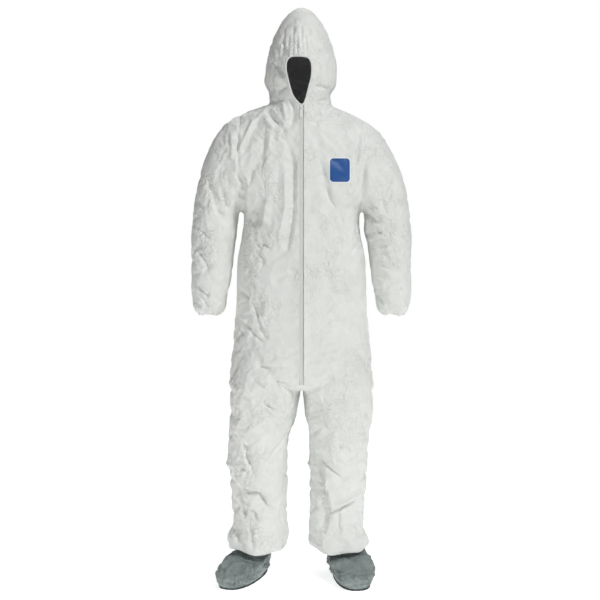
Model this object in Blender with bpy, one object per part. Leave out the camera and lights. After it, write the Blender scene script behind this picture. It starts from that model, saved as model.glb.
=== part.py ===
"""Hooded protective coverall with attached boots, as separate panels, zip, elastics and boots.

Metres, +Z up. The suit faces -Y, so the wearer's left side is at +X. Heights are counted from
the soles of the boots while the pieces are made. Every piece hangs on an empty that lowers the
whole suit by SHOULDER_HEIGHT, which puts the origin where the wearer's shoulders carry it.
"""

import math

import bmesh
import bpy
from mathutils import Matrix, Vector

# ---- driving dimensions ----------------------------------------------------------------------

SHOULDER_HEIGHT = 1.450       # origin: between the shoulders, at the base of the neck
WALL = 0.0020                 # thickness of each fabric panel's solid
SEAM = 0.0006                 # half of the gap left along a seam
SIDE_SEAM_Y = 0.000           # the side seams lie in this plane
FINE = 0.0004                 # clearance of small pieces from what they sit on

ARMHOLE_X = 0.1950            # the armholes lie in the planes x = +-ARMHOLE_X
ARMHOLE_GAP = 0.0015
HOOD_SPLIT = 1.5150           # the hood folds back above this height
NECK_SEAM_FRONT = (-0.125, 1.432)
NECK_SEAM_BACK = (0.090, 1.487)

ZIP_TOP = (-0.1180, 1.5120)   # (y, height) of the zip's two ends
ZIP_BOTTOM = (-0.1500, 0.6400)
ZIP_SLOT = 0.0084             # half width of the slot that the zip fills
TAPE_EDGE = 0.0078
COIL_EDGE = 0.0024
COIL_MIDDLE = 0.0003
TAPE_THICKNESS = 0.0010
COIL_THICKNESS = 0.0022

NAPE = (0.090, 1.515)         # (y, height) of each hinge axis, which runs along X
SHOULDER = (0.000, 1.380)
ELBOW = (-0.020, 1.095)
HIP = (-0.050, 0.660)
KNEE = (0.030, 0.415)
SHOULDER_X = 0.1965           # how far each hinge's middle is from the suit's middle plane
ELBOW_X = 0.277
HIP_X = 0.120
KNEE_X = 0.127
HIP_WEDGE = (23.0, 5.5)       # half of the room to swing, in degrees, in front and behind
ELBOW_WEDGE = (38.5, 0.0)
KNEE_WEDGE = (0.0, 31.0)
JOINT_GAP = 0.0008

WRIST_ELASTIC_INSET = 0.0052
HEM_HEIGHT = 0.092
SHIN_TOP = 0.440
SHIN_ROWS = 7
HEM_ELASTIC_INSET = 0.0036
ANKLE_HEIGHT = 0.100
ANKLE_Y = 0.030
SOLE_THICKNESS = 0.0040
BOOT_TOP = 0.150
SIDES = {
    "left": {"sign": 1.0, "leg_out": -0.0095, "ankle_x": 0.146, "toe_out": 8.0},
    "right": {"sign": -1.0, "leg_out": 0.0095, "ankle_x": 0.152, "toe_out": 21.0},
}
LEG_OUT_FROM = 0.55           # the legs stand out by leg_out below this height

BADGE_CENTRE = (0.119, 1.307)
BADGE_SIZE = (0.064, 0.076)
LABEL_SIZE = (0.050, 0.036)

# ---- sections --------------------------------------------------------------------------------

# height: half width, back depth, roundness (2 is an ellipse, more is squarer)
TRUNK = {
    0.560: (0.2265, 0.146, 2.6),
    0.660: (0.2255, 0.156, 2.6),
    0.760: (0.2150, 0.158, 2.6),
    0.900: (0.2060, 0.140, 2.5),
    1.020: (0.2020, 0.130, 2.5),
    1.120: (0.1850, 0.132, 2.4),
    1.185: (0.1900, 0.138, 2.3),
    1.230: (0.2450, 0.141, 2.2),
    1.300: (0.2920, 0.142, 2.1),
    1.370: (0.2880, 0.136, 2.0),
    1.412: (0.2650, 0.128, 1.95),
    1.442: (0.2400, 0.117, 1.9),
    1.466: (0.2090, 0.106, 1.85),
    1.486: (0.1680, 0.096, 1.85),
    1.500: (0.1300, 0.089, 1.95),
    1.516: (0.1030, 0.084, 2.1),
}

# share of the way: inner (x, height), outer (x, height), half depth
SLEEVE = {
    0.00: (0.1965, 1.190, 0.1965, 1.472, 0.104),
    0.12: (0.1990, 1.178, 0.2560, 1.427, 0.100),
    0.25: (0.2000, 1.163, 0.3010, 1.344, 0.093),
    0.38: (0.2010, 1.140, 0.3330, 1.240, 0.086),
    0.50: (0.2040, 1.098, 0.3500, 1.112, 0.080),
    0.62: (0.2170, 1.040, 0.3500, 1.032, 0.076),
    0.76: (0.2250, 0.970, 0.3530, 0.965, 0.073),
    0.89: (0.2400, 0.898, 0.3465, 0.893, 0.065),
    0.96: (0.2460, 0.864, 0.3410, 0.861, 0.054),
    1.00: (0.2500, 0.849, 0.3360, 0.848, 0.046),
}

# height: inner x, outer x, front y, back y
LEG = {
    0.720: (0.0140, 0.2230, -0.150, 0.157),
    0.640: (0.0140, 0.2262, -0.146, 0.150),
    0.560: (0.0140, 0.2285, -0.137, 0.133),
    0.500: (0.0150, 0.2300, -0.128, 0.122),
    0.440: (0.0320, 0.2260, -0.116, 0.113),
    0.370: (0.0360, 0.2220, -0.108, 0.107),
    0.300: (0.0360, 0.2180, -0.101, 0.106),
    0.220: (0.0400, 0.2130, -0.096, 0.106),
    0.150: (0.0350, 0.2130, -0.096, 0.106),
    0.115: (0.0360, 0.2260, -0.099, 0.109),
    0.092: (0.0540, 0.2220, -0.097, 0.106),
}

# height: half width, front y, back y, roundness
HOOD = {
    1.5160: (0.1010, -0.118, 0.083, 2.1),
    1.5450: (0.0990, -0.124, 0.092, 2.2),
    1.5800: (0.1090, -0.131, 0.108, 2.2),
    1.6200: (0.1110, -0.136, 0.124, 2.2),
    1.6600: (0.1060, -0.136, 0.134, 2.1),
    1.7000: (0.0970, -0.128, 0.134, 2.0),
    1.7400: (0.0800, -0.108, 0.124, 2.0),
    1.7750: (0.0600, -0.080, 0.100, 2.0),
    1.8000: (0.0400, -0.047, 0.068, 2.0),
    1.8150: (0.0190, -0.015, 0.035, 2.0),
    1.8200: (0.0040, 0.002, 0.014, 2.0),
}

# height above the floor: reach in front of the ankle, behind it, half width
BOOT = {
    0.0044: (0.226, 0.054, 0.050),
    0.0200: (0.236, 0.060, 0.059),
    0.0380: (0.228, 0.061, 0.061),
    0.0540: (0.196, 0.060, 0.058),
    0.0680: (0.142, 0.058, 0.053),
    0.0820: (0.098, 0.056, 0.050),
    0.1050: (0.070, 0.053, 0.047),
    0.1500: (0.058, 0.050, 0.046),
}

# face opening: (x, height) on its right half, bottom to top
FACE = ((0.0, 1.505), (0.011, 1.530), (0.026, 1.565), (0.038, 1.600), (0.042, 1.628),
        (0.037, 1.650), (0.022, 1.663), (0.0, 1.667))

COLOURS = {
    "coverall_fabric": ((0.70, 0.72, 0.70), 0.55, 0.0),
    "boot_fabric": ((0.20, 0.23, 0.22), 0.60, 0.0),
    "sole_rubber": ((0.12, 0.13, 0.13), 0.80, 0.0),
    "elastic": ((0.78, 0.78, 0.76), 0.80, 0.0),
    "zip_tape": ((0.62, 0.64, 0.62), 0.75, 0.0),
    "zip_plastic": ((0.66, 0.67, 0.66), 0.35, 0.0),
    "badge_print": ((0.015, 0.075, 0.27), 0.45, 0.0),
    "label_cloth": ((0.75, 0.75, 0.73), 0.85, 0.0),
}


# ---- helpers ---------------------------------------------------------------------------------

def clear_scene():
    for obj in list(bpy.data.objects):
        bpy.data.objects.remove(obj, do_unlink=True)


def make_materials():
    made = {}
    for name, (colour, roughness, metallic) in COLOURS.items():
        material = bpy.data.materials.new(name)
        material.use_nodes = True
        shader = material.node_tree.nodes["Principled BSDF"]
        shader.inputs["Base Color"].default_value = (*colour, 1.0)
        shader.inputs["Roughness"].default_value = roughness
        shader.inputs["Metallic"].default_value = metallic
        made[name] = material
    return made


def section_at(table, at):
    """The row of a table of sections at a height between its own, on a smooth curve."""
    keys = sorted(table)
    at = min(max(at, keys[0]), keys[-1])
    i = max(k for k in range(len(keys) - 1) if keys[k] <= at)
    before, low, high, after = (keys[min(max(j, 0), len(keys) - 1)] for j in (i - 1, i, i + 1, i + 2))
    t = (at - low) / (high - low)
    row = []
    for column in range(len(table[low])):
        p, q = table[low][column], table[high][column]
        slope_low = slope_high = q - p
        if before != low:
            slope_low = (q - table[before][column]) / (high - before) * (high - low)
        if after != high:
            slope_high = (table[after][column] - p) / (after - low) * (high - low)
        row.append(
            (2 * t**3 - 3 * t**2 + 1) * p
            + (t**3 - 2 * t**2 + t) * slope_low
            + (3 * t**2 - 2 * t**3) * q
            + (t**3 - t**2) * slope_high
        )
    return row


def power(value, exponent):
    """A signed power, which turns a circle into a rounded square."""
    return math.copysign(abs(value) ** exponent, value)


def around(u, half_width, front, back, roundness, middle=0.0):
    """(x, y) on a horizontal section, u from 0 at the back, by +X, the front and -X, to 1."""
    angle = 2 * math.pi * u
    across = power(math.sin(angle), 2 / roundness) * half_width
    along = power(math.cos(angle), 2 / roundness)
    reach = (back - middle) if along > 0 else (middle - front)
    return across, middle + along * reach


def sheet(surface, columns, rows, u_range=(0.0, 1.0), v_range=(0.0, 1.0), closed=False):
    """A bmesh sheet over surface(u, v), facing away from its own middle."""
    bm = bmesh.new()
    bmesh.ops.create_grid(bm, x_segments=columns, y_segments=rows, size=0.5)
    for vert in bm.verts:
        across, along = (min(max(share + 0.5, 0.0), 1.0) for share in vert.co[:2])
        u = u_range[0] + across * (u_range[1] - u_range[0])
        v = v_range[0] + along * (v_range[1] - v_range[0])
        vert.co = surface(u, v)
    if closed:
        bmesh.ops.remove_doubles(bm, verts=bm.verts, dist=1e-5)
    return bm


def face_out(bm, centre_line):
    """Turns the sheet's faces away from centre_line(z), a point inside the garment."""
    bm.normal_update()
    outward = 0.0
    for face in bm.faces:
        middle = face.calc_center_median()
        outward += face.normal.dot(middle - centre_line(middle.z)) * face.calc_area()
    if outward < 0:
        bmesh.ops.reverse_faces(bm, faces=bm.faces)


def keep(bm, point, towards):
    """Cuts the sheet along a plane and keeps the side that towards points to."""
    geometry = bm.verts[:] + bm.edges[:] + bm.faces[:]
    bmesh.ops.bisect_plane(bm, geom=geometry, dist=1e-6, plane_co=point, plane_no=towards,
                           clear_inner=True)


def keep_wedge(bm, axis, wedge, above):
    """Trims a rim on both sides of a hinge axis, so that the neighbour has room to swing."""
    side = 1.0 if above else -1.0
    for degrees, forward in zip(wedge, (-1.0, 1.0)):
        slope = math.radians(degrees)
        plane = Vector((0, -forward * math.sin(slope), side * math.cos(slope)))
        point = Vector((0, axis[0], axis[1])) + plane * JOINT_GAP
        keep(bm, point, plane)


def finish(bm, name, material, parent, thickness=WALL, origin=(0, 0, 0)):
    """Makes an object of the mesh, with its origin at a point, and its wall's thickness."""
    bmesh.ops.translate(bm, verts=bm.verts, vec=-Vector(origin))
    mesh = bpy.data.meshes.new(name)
    bm.to_mesh(mesh)
    bm.free()
    mesh.shade_smooth()
    obj = bpy.data.objects.new(name, mesh)
    bpy.context.scene.collection.objects.link(obj)
    obj.location = origin
    obj.parent = parent
    if material:
        obj.data.materials.append(material)
    if thickness:
        wall = obj.modifiers.new("wall", "SOLIDIFY")
        wall.thickness = thickness
        wall.offset = -1.0
    return obj


def bar(name, material, parent, size, centre, turn=0.0, bevel=0.0):
    """A small block, turned about X, with bevelled edges."""
    bm = bmesh.new()
    bmesh.ops.create_cube(bm, size=1.0)
    bmesh.ops.scale(bm, verts=bm.verts, vec=size)
    if bevel:
        bmesh.ops.bevel(bm, geom=bm.edges[:], offset=bevel, affect="EDGES", segments=1, profile=0.5)
    obj = finish(bm, name, material, parent, thickness=0)
    obj.location = centre
    obj.rotation_euler = (turn, 0, 0)
    return obj


def prism(name, outline, axis, low, high):
    """A cutter: a flat outline drawn out along X or Y. It isn't part of the suit."""
    bm = bmesh.new()
    if axis == "Y":
        verts = [bm.verts.new((x, low, z)) for x, z in outline]
        way = (0, high - low, 0)
    else:
        verts = [bm.verts.new((low, y, z)) for y, z in outline]
        way = (high - low, 0, 0)
    face = bm.faces.new(verts)
    grown = bmesh.ops.extrude_face_region(bm, geom=[face])
    moved = [part for part in grown["geom"] if isinstance(part, bmesh.types.BMVert)]
    bmesh.ops.translate(bm, verts=moved, vec=way)
    bmesh.ops.recalc_face_normals(bm, faces=bm.faces)
    mesh = bpy.data.meshes.new(name)
    bm.to_mesh(mesh)
    bm.free()
    obj = bpy.data.objects.new(name, mesh)
    bpy.context.scene.collection.objects.link(obj)
    obj.hide_render = True
    obj.display_type = "WIRE"
    return obj


def cut(obj, cutter, operation="DIFFERENCE"):
    modifier = obj.modifiers.new(cutter.name, "BOOLEAN")
    modifier.object = cutter
    modifier.operation = operation
    modifier.solver = "EXACT"


# ---- the zip's line --------------------------------------------------------------------------

ZIP_SLOPE = (ZIP_TOP[0] - ZIP_BOTTOM[0]) / (ZIP_TOP[1] - ZIP_BOTTOM[1])
ZIP_TURN = -math.atan(ZIP_SLOPE)


def zip_y(height):
    return ZIP_BOTTOM[0] + (height - ZIP_BOTTOM[1]) * ZIP_SLOPE


# ---- trunk -----------------------------------------------------------------------------------

def trunk_point(u, height, inset=0.0):
    half_width, back, roundness = section_at(TRUNK, height)
    x, y = around(u, half_width - inset, zip_y(height) + inset, back - inset, roundness)
    return Vector((x, y, height))


def trunk_height(v):
    """Heights for v from 0 to 1, closer together over the shoulders."""
    return 0.600 + (HOOD_SPLIT - 0.600) * (1 - (1 - v) ** 1.45)


def trunk_centre(height):
    return Vector((0, 0, min(height, 1.38)))


def trunk_sheet(inset=0.0):
    bm = sheet(lambda u, v: trunk_point(u, trunk_height(v), inset), 24, 14, closed=True)
    face_out(bm, trunk_centre)
    return bm


def neck_plane():
    """(point, upward normal) of the seam between the body and the hood's neck."""
    (y_front, z_front), (y_back, z_back) = NECK_SEAM_FRONT, NECK_SEAM_BACK
    along = Vector((0, y_back - y_front, z_back - z_front)).normalized()
    return Vector((0, y_front, z_front)), Vector((0, -along.z, along.y))


def trim_armhole(bm, sign):
    """Cuts the armhole: above the armpit nothing of the body lies beyond its plane."""
    geometry = bm.verts[:] + bm.edges[:] + bm.faces[:]
    bmesh.ops.bisect_plane(bm, geom=geometry, dist=1e-6, plane_co=(sign * ARMHOLE_X, 0, 0),
                           plane_no=(sign, 0, 0))
    beyond = [
        face for face in bm.faces
        if face.calc_center_median().x * sign > ARMHOLE_X and face.calc_center_median().z > 1.15
    ]
    bmesh.ops.delete(bm, geom=beyond, context="FACES")


def build_trunk(materials, parent):
    seam_point, seam_up = neck_plane()
    for side, data in SIDES.items():
        sign = data["sign"]
        for part, forward in (("front", -1.0), ("back", 1.0)):
            bm = trunk_sheet()
            inner = ZIP_SLOT if part == "front" else SEAM
            keep(bm, (sign * inner, 0, 0), (sign, 0, 0))
            keep(bm, (0, SIDE_SEAM_Y + forward * SEAM, 0), (0, forward, 0))
            keep_wedge(bm, HIP, HIP_WEDGE, above=True)
            keep(bm, seam_point - seam_up * SEAM, -seam_up)
            trim_armhole(bm, sign)
            finish(bm, f"{part}_panel_{side}", materials["coverall_fabric"], parent)
        bm = trunk_sheet()
        keep(bm, (sign * ZIP_SLOT, 0, 0), (sign, 0, 0))
        keep(bm, seam_point + seam_up * SEAM, seam_up)
        trim_armhole(bm, sign)
        finish(bm, f"neck_panel_{side}", materials["coverall_fabric"], parent)


def build_gusset(materials, parent):
    """The strip that closes the crotch, from the zip's lower end to the seat."""
    low, high = 0.605, 0.676
    front, back = zip_y(0.632) + 0.003, 0.150

    def surface(u, v):
        y = front + (back - front) * v
        middle = 2 * v - 1
        rise = (0.632 - low) if middle < 0 else (high - low)
        return Vector(((u - 0.5) * 0.024, y, low + rise * abs(middle) ** 3.0))

    bm = sheet(surface, 2, 14)
    face_out(bm, lambda z: Vector((0, 0, 0.9)))
    finish(bm, "crotch_gusset", materials["coverall_fabric"], parent)


def build_trunk_trim(materials, parent):
    def waist(u, v):
        return trunk_point(0.75 + u * 0.5, 1.005 + v * 0.020, WALL + 0.0030)

    bm = sheet(waist, 16, 1, u_range=(0.08, 0.92))
    face_out(bm, trunk_centre)
    finish(bm, "waist_elastic", materials["elastic"], parent, thickness=0.0012)

    def on_chest(u, v):
        """A point of the left front panel, by its distance across and its height."""
        x = BADGE_CENTRE[0] + (u - 0.5) * BADGE_SIZE[0]
        height = BADGE_CENTRE[1] + (v - 0.5) * BADGE_SIZE[1]
        half_width, _, roundness = section_at(TRUNK, height)
        depth = (1 - (x / half_width) ** roundness) ** (1 / roundness)
        return Vector((x, zip_y(height) * depth - 0.0020, height))

    bm = sheet(on_chest, 4, 4)
    face_out(bm, trunk_centre)
    finish(bm, "chest_badge", materials["badge_print"], parent, thickness=0.0010)

    def in_nape(u, v):
        x = (u - 0.5) * LABEL_SIZE[0]
        height = 1.436 + v * LABEL_SIZE[1]
        back = section_at(TRUNK, height)[1]
        return Vector((x, back - 0.0075 - 8 * x * x, height))

    bm = sheet(in_nape, 4, 2)
    face_out(bm, lambda z: Vector((0, 0, z)))
    finish(bm, "size_label", materials["label_cloth"], parent, thickness=0.0008)


# ---- zip -------------------------------------------------------------------------------------

def on_zip(height, forward=0.0, x=0.0):
    """A point at a height on the zip's line, moved out from the suit along its normal."""
    out, up = math.cos(ZIP_TURN), -math.sin(ZIP_TURN)
    return Vector((x, zip_y(height) - forward * out, height + forward * up))


def build_zip(materials, parent):
    middle = (ZIP_TOP[1] + ZIP_BOTTOM[1]) / 2
    length = (ZIP_TOP[1] - ZIP_BOTTOM[1]) / math.cos(ZIP_TURN) - 0.010
    for side, data in SIDES.items():
        sign = data["sign"]
        tape_x = sign * (TAPE_EDGE + COIL_EDGE + FINE) / 2
        bar(f"zip_tape_{side}", materials["zip_tape"], parent,
            (TAPE_EDGE - COIL_EDGE - FINE, TAPE_THICKNESS, length),
            on_zip(middle, 0.0, tape_x), ZIP_TURN)
        bar(f"zip_coil_{side}", materials["zip_plastic"], parent,
            (COIL_EDGE - COIL_MIDDLE, COIL_THICKNESS, length),
            on_zip(middle, 0.0, sign * (COIL_EDGE + COIL_MIDDLE) / 2), ZIP_TURN, bevel=0.0005)
        bar(f"zip_top_stop_{side}", materials["zip_plastic"], parent,
            (0.0036, 0.0030, 0.0032), on_zip(ZIP_TOP[1] - 0.0020, 0.0, sign * 0.0024),
            ZIP_TURN, bevel=0.0005)
    bar("zip_bottom_stop", materials["zip_plastic"], parent, (0.0085, 0.0030, 0.0036),
        on_zip(ZIP_BOTTOM[1] + 0.0022), ZIP_TURN, bevel=0.0006)


SLIDER_HEIGHT = 1.4985
SLIDER_SIZE = (0.0110, 0.0024, 0.0150)
SLIDER_OUT = COIL_THICKNESS / 2 + FINE + SLIDER_SIZE[1] / 2
BRIDGE_INNER = 0.0023
BRIDGE_OUTER = 0.0035
BRIDGE_WIDTH = 0.0022
PULL_PIVOT_OUT = SLIDER_OUT + SLIDER_SIZE[1] / 2 + 0.0013
PULL_SIZE = (0.0080, 0.0014, 0.0300)
PULL_SLOT = (0.0038, 0.0043)  # width and length of the slot that the bridge passes through


def helper_block(name, size, centre, turn, parent):
    """A block that another piece is cut with or joined to. It isn't part of the suit itself."""
    block = bar(name, None, parent, size, centre, turn)
    block.hide_render = True
    block.display_type = "WIRE"
    return block


def build_slider(materials, parent):
    """The slider's front plate with its round bridge, and the pull tab that hangs from it."""
    plate = bar("zip_slider", materials["zip_plastic"], parent, SLIDER_SIZE,
                on_zip(SLIDER_HEIGHT, SLIDER_OUT), ZIP_TURN, bevel=0.0008)
    pivot = on_zip(SLIDER_HEIGHT, PULL_PIVOT_OUT)
    bm = bmesh.new()
    bmesh.ops.create_cone(bm, segments=16, radius1=BRIDGE_OUTER, radius2=BRIDGE_OUTER,
                          depth=BRIDGE_WIDTH, cap_ends=True)
    bmesh.ops.rotate(bm, verts=bm.verts, matrix=Matrix.Rotation(math.pi / 2, 3, "Y"))
    ring = finish(bm, "slider_bridge_helper", None, parent, thickness=0)
    bm = bmesh.new()
    bmesh.ops.create_cone(bm, segments=16, radius1=BRIDGE_INNER, radius2=BRIDGE_INNER,
                          depth=BRIDGE_WIDTH * 3, cap_ends=True)
    bmesh.ops.rotate(bm, verts=bm.verts, matrix=Matrix.Rotation(math.pi / 2, 3, "Y"))
    bmesh.ops.bisect_plane(bm, geom=bm.verts[:] + bm.edges[:] + bm.faces[:], dist=1e-6,
                           plane_co=(0, 0.00125, 0), plane_no=(0, 1, 0), clear_outer=True)
    bmesh.ops.holes_fill(bm, edges=bm.edges, sides=0)
    bmesh.ops.recalc_face_normals(bm, faces=bm.faces)
    hole = finish(bm, "slider_bridge_hole_helper", None, parent, thickness=0)
    for helper in (ring, hole):
        helper.location = pivot
        helper.rotation_euler = (ZIP_TURN, 0, 0)
        helper.hide_render = True
        helper.display_type = "WIRE"
    cut(plate, ring, "UNION")
    cut(plate, hole)
    half_bar = PULL_SIZE[1] / 2
    bm = bmesh.new()
    bmesh.ops.create_cube(bm, size=1.0)
    bmesh.ops.scale(bm, verts=bm.verts, vec=PULL_SIZE)
    bmesh.ops.translate(bm, verts=bm.verts, vec=(0, 0, half_bar - PULL_SIZE[2] / 2))
    tab = finish(bm, "zip_pull_tab", materials["zip_plastic"], parent, thickness=0)
    tab.location = pivot
    slot_middle = pivot + Vector((0, 0, -half_bar - PULL_SLOT[1] / 2))
    slot = helper_block("pull_slot_helper", (PULL_SLOT[0], 0.0060, PULL_SLOT[1]), slot_middle, 0.0, parent)
    cut(tab, slot)


# ---- hood ------------------------------------------------------------------------------------

def hood_point(u, height, inset=0.0):
    half_width, front, back, roundness = section_at(HOOD, height)
    shrink = min(inset, half_width * 0.5)
    x, y = around(u, half_width - shrink, front + shrink, back - shrink, roundness,
                  middle=(front + back) / 2)
    return Vector((x, y, height))


def hood_height(v):
    """Heights for v from 0 to 1, closer together over the crown."""
    low, high = HOOD_SPLIT + 0.0010, 1.8200
    return low + (high - low) * (1 - (1 - v) ** 1.7)


def hood_sheet():
    bm = sheet(lambda u, v: hood_point(u, hood_height(v)), 24, 11, closed=True)
    top = max(vert.co.z for vert in bm.verts)
    rim = [edge for edge in bm.edges
           if edge.is_boundary and all(vert.co.z > top - 1e-4 for vert in edge.verts)]
    bmesh.ops.holes_fill(bm, edges=rim, sides=0)
    bmesh.ops.triangulate(bm, faces=[face for face in bm.faces if len(face.verts) > 4])
    face_out(bm, lambda z: Vector((0, 0, min(z, 1.66))))
    return bm


def build_hood(materials, parent):
    hinge = (0, *NAPE)
    outline = [(-x, z) for x, z in FACE[-2:0:-1]]
    face_cutter = prism("face_opening_cutter", list(FACE) + outline, "Y", -0.30, -0.03)
    crown_line = ((-0.30, 1.6550), (-0.30, 2.0), (0.30, 2.0), (0.30, 1.40), (0.0, 1.40), (0.0, 1.6550))
    slab = 0.0400
    around_crown = prism("crown_room_cutter", crown_line, "X", -slab - 0.0008, slab + 0.0008)
    crown_block = prism("crown_cutter", [(y + 0.0008 * (y == 0), z + 0.0008 * (z == 1.6550))
                                         for y, z in crown_line], "X", -slab, slab)
    for cutter in (face_cutter, around_crown, crown_block):
        cutter.parent = parent
    for side, data in SIDES.items():
        bm = hood_sheet()
        keep(bm, (data["sign"] * SEAM, 0, 0), (data["sign"], 0, 0))
        panel = finish(bm, f"hood_panel_{side}", materials["coverall_fabric"], parent, origin=hinge)
        cut(panel, face_cutter)
        cut(panel, around_crown)
    crown = finish(hood_sheet(), "hood_crown_panel", materials["coverall_fabric"], parent, origin=hinge)
    cut(crown, crown_block, "INTERSECT")
    cut(crown, face_cutter)
    build_face_elastic(materials, parent, hinge)


def build_face_elastic(materials, parent, hinge):
    """The gathered elastic edge of the face opening, just inside its outline."""
    curve = bpy.data.curves.new("face_elastic", "CURVE")
    curve.dimensions = "3D"
    curve.bevel_depth = 0.0014
    curve.bevel_resolution = 1
    right = [(x, z) for x, z in FACE if z > 1.52]
    outline = right + [(-x, z) for x, z in right[-2::-1]]
    spline = curve.splines.new("POLY")
    spline.points.add(len(outline) - 1)
    for point, (x, z) in zip(spline.points, outline):
        half_width, front, back, roundness = section_at(HOOD, z)
        middle = (front + back) / 2
        depth = (1 - (abs(x) / half_width) ** roundness) ** (1 / roundness)
        inward = 0.93 - 0.0030 / max(abs(x), 0.02) * 0.5
        y = middle + (front - middle) * depth + 0.004
        point.co = (x * inward, y - NAPE[0], z - 0.004 * (z > 1.64) - NAPE[1], 1)
    curve.use_fill_caps = True
    obj = bpy.data.objects.new("face_elastic", curve)
    bpy.context.scene.collection.objects.link(obj)
    obj.location = hinge
    obj.parent = parent
    curve.materials.append(materials["elastic"])


# ---- sleeves ---------------------------------------------------------------------------------

def sleeve_point(u, v, sign, inset=0.0):
    x_in, z_in, x_out, z_out, depth = section_at(SLEEVE, v)
    angle = 2 * math.pi * u
    across = power(math.cos(angle), 2 / 2.15)
    along = power(math.sin(angle), 2 / 2.15)
    centre = Vector((x_in + x_out, 0, z_in + z_out)) / 2
    half = Vector((x_out - x_in, 0, z_out - z_in)) / 2
    half *= 1 - inset / max(half.length, 1e-6)
    point = centre + half * across + Vector((0, along * (depth - inset), 0))
    return Vector((point.x * sign, point.y, point.z))


def sleeve_centre(sign):
    return lambda z: Vector((sign * (0.293 if z < 1.1 else 0.293 - (z - 1.1) * 0.3), 0, min(z, 1.36)))


def build_sleeve(side, data, materials, parent):
    sign = data["sign"]
    shoulder = (sign * SHOULDER_X, *SHOULDER)
    elbow = (sign * ELBOW_X, *ELBOW)

    def surface(u, v):
        return sleeve_point(u, v, sign)

    bm = sheet(surface, 16, 8, v_range=(0.0, 0.58), closed=True)
    face_out(bm, sleeve_centre(sign))
    keep_wedge(bm, ELBOW, ELBOW_WEDGE, above=True)
    keep(bm, (sign * (ARMHOLE_X + ARMHOLE_GAP - 0.001), 0, 0), (sign, 0, 0))
    finish(bm, f"upper_sleeve_{side}", materials["coverall_fabric"], parent, origin=shoulder)
    bm = sheet(surface, 16, 7, v_range=(0.46, 1.0), closed=True)
    face_out(bm, sleeve_centre(sign))
    keep_wedge(bm, ELBOW, ELBOW_WEDGE, above=False)
    finish(bm, f"lower_sleeve_{side}", materials["coverall_fabric"], parent, origin=elbow)
    bm = sheet(lambda u, v: sleeve_point(u, v, sign, WRIST_ELASTIC_INSET), 16, 1,
               v_range=(0.972, 0.998), closed=True)
    face_out(bm, sleeve_centre(sign))
    finish(bm, f"wrist_elastic_{side}", materials["elastic"], parent, 0.0012, elbow)


# ---- legs ------------------------------------------------------------------------------------

def leg_shift(height, data):
    """How far a leg stands out sideways at a height."""
    share = min(max((LEG_OUT_FROM - height) / 0.15, 0), 1)
    return data["leg_out"] * share * share * (3 - 2 * share)


def leg_middle(height, data):
    inner, outer, front, back = section_at(LEG, height)
    x = (inner + outer) / 2 + leg_shift(height, data)
    return Vector((data["sign"] * x, (front + back) / 2, height))


def leg_point(u, height, data, inset=0.0):
    inner, outer, front, back = section_at(LEG, height)
    roundness = 2.3 + 0.7 * min(max((height - 0.45) / 0.15, 0), 1)
    middle = (front + back) / 2
    x, y = around(u, (outer - inner) / 2 - inset, front + inset, back - inset, roundness, middle)
    centre = (inner + outer) / 2 + leg_shift(height, data)
    return Vector((data["sign"] * (centre + x), y, height))


def leg_sheet(data, low, high, rows):
    bm = sheet(lambda u, v: leg_point(u, low + (high - low) * v, data), 18, rows, closed=True)
    face_out(bm, lambda z: leg_middle(z, data))
    return bm


def build_leg(side, data, materials, parent):
    hip = (data["sign"] * HIP_X, *HIP)
    knee = (data["sign"] * (KNEE_X + data["leg_out"]), *KNEE)
    parts = (("front", -1.0), ("back", 1.0))
    for part, forward in parts:
        bm = leg_sheet(data, 0.34, 0.715, 6)
        keep_wedge(bm, HIP, HIP_WEDGE, above=False)
        keep_wedge(bm, KNEE, KNEE_WEDGE, above=True)
        keep(bm, (0, SIDE_SEAM_Y + forward * SEAM, 0), (0, forward, 0))
        finish(bm, f"thigh_{part}_{side}", materials["coverall_fabric"], parent, origin=hip)
    for part, forward in parts:
        bm = leg_sheet(data, HEM_HEIGHT, SHIN_TOP, SHIN_ROWS)
        keep_wedge(bm, KNEE, KNEE_WEDGE, above=False)
        keep(bm, (0, SIDE_SEAM_Y + forward * SEAM, 0), (0, forward, 0))
        finish(bm, f"shin_{part}_{side}", materials["coverall_fabric"], parent, origin=knee)
    next_row = HEM_HEIGHT + (SHIN_TOP - HEM_HEIGHT) / SHIN_ROWS

    def in_hem(u, v):
        """A point just inside the lowest row of the shin's flat facets."""
        low = leg_point(u, HEM_HEIGHT, data, HEM_ELASTIC_INSET)
        return low.lerp(leg_point(u, next_row, data, HEM_ELASTIC_INSET), 0.06 + 0.25 * v)

    bm = sheet(in_hem, 18, 1, closed=True)
    face_out(bm, lambda z: leg_middle(z, data))
    finish(bm, f"hem_elastic_{side}", materials["elastic"], parent, 0.0012, knee)


# ---- boots -----------------------------------------------------------------------------------

def boot_section(u, height, inset=0.0):
    """A point of the boot about its ankle, with the toe towards -Y."""
    front, back, half_width = section_at(BOOT, height)
    x, y = around(u, half_width - inset, -front + inset, back - inset, 2.6, middle=(back - front) / 2)
    towards_toe = min(max((back - y) / (front + back), 0.0), 1.0)
    narrow = 0.82 + 0.24 * math.sin(0.5 * math.pi * min(towards_toe / 0.62, 1.0))
    blend_in = min(max((0.09 - height) / 0.03, 0), 1)
    return Vector((x * (1 + (narrow - 1) * blend_in), y, height))


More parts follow.
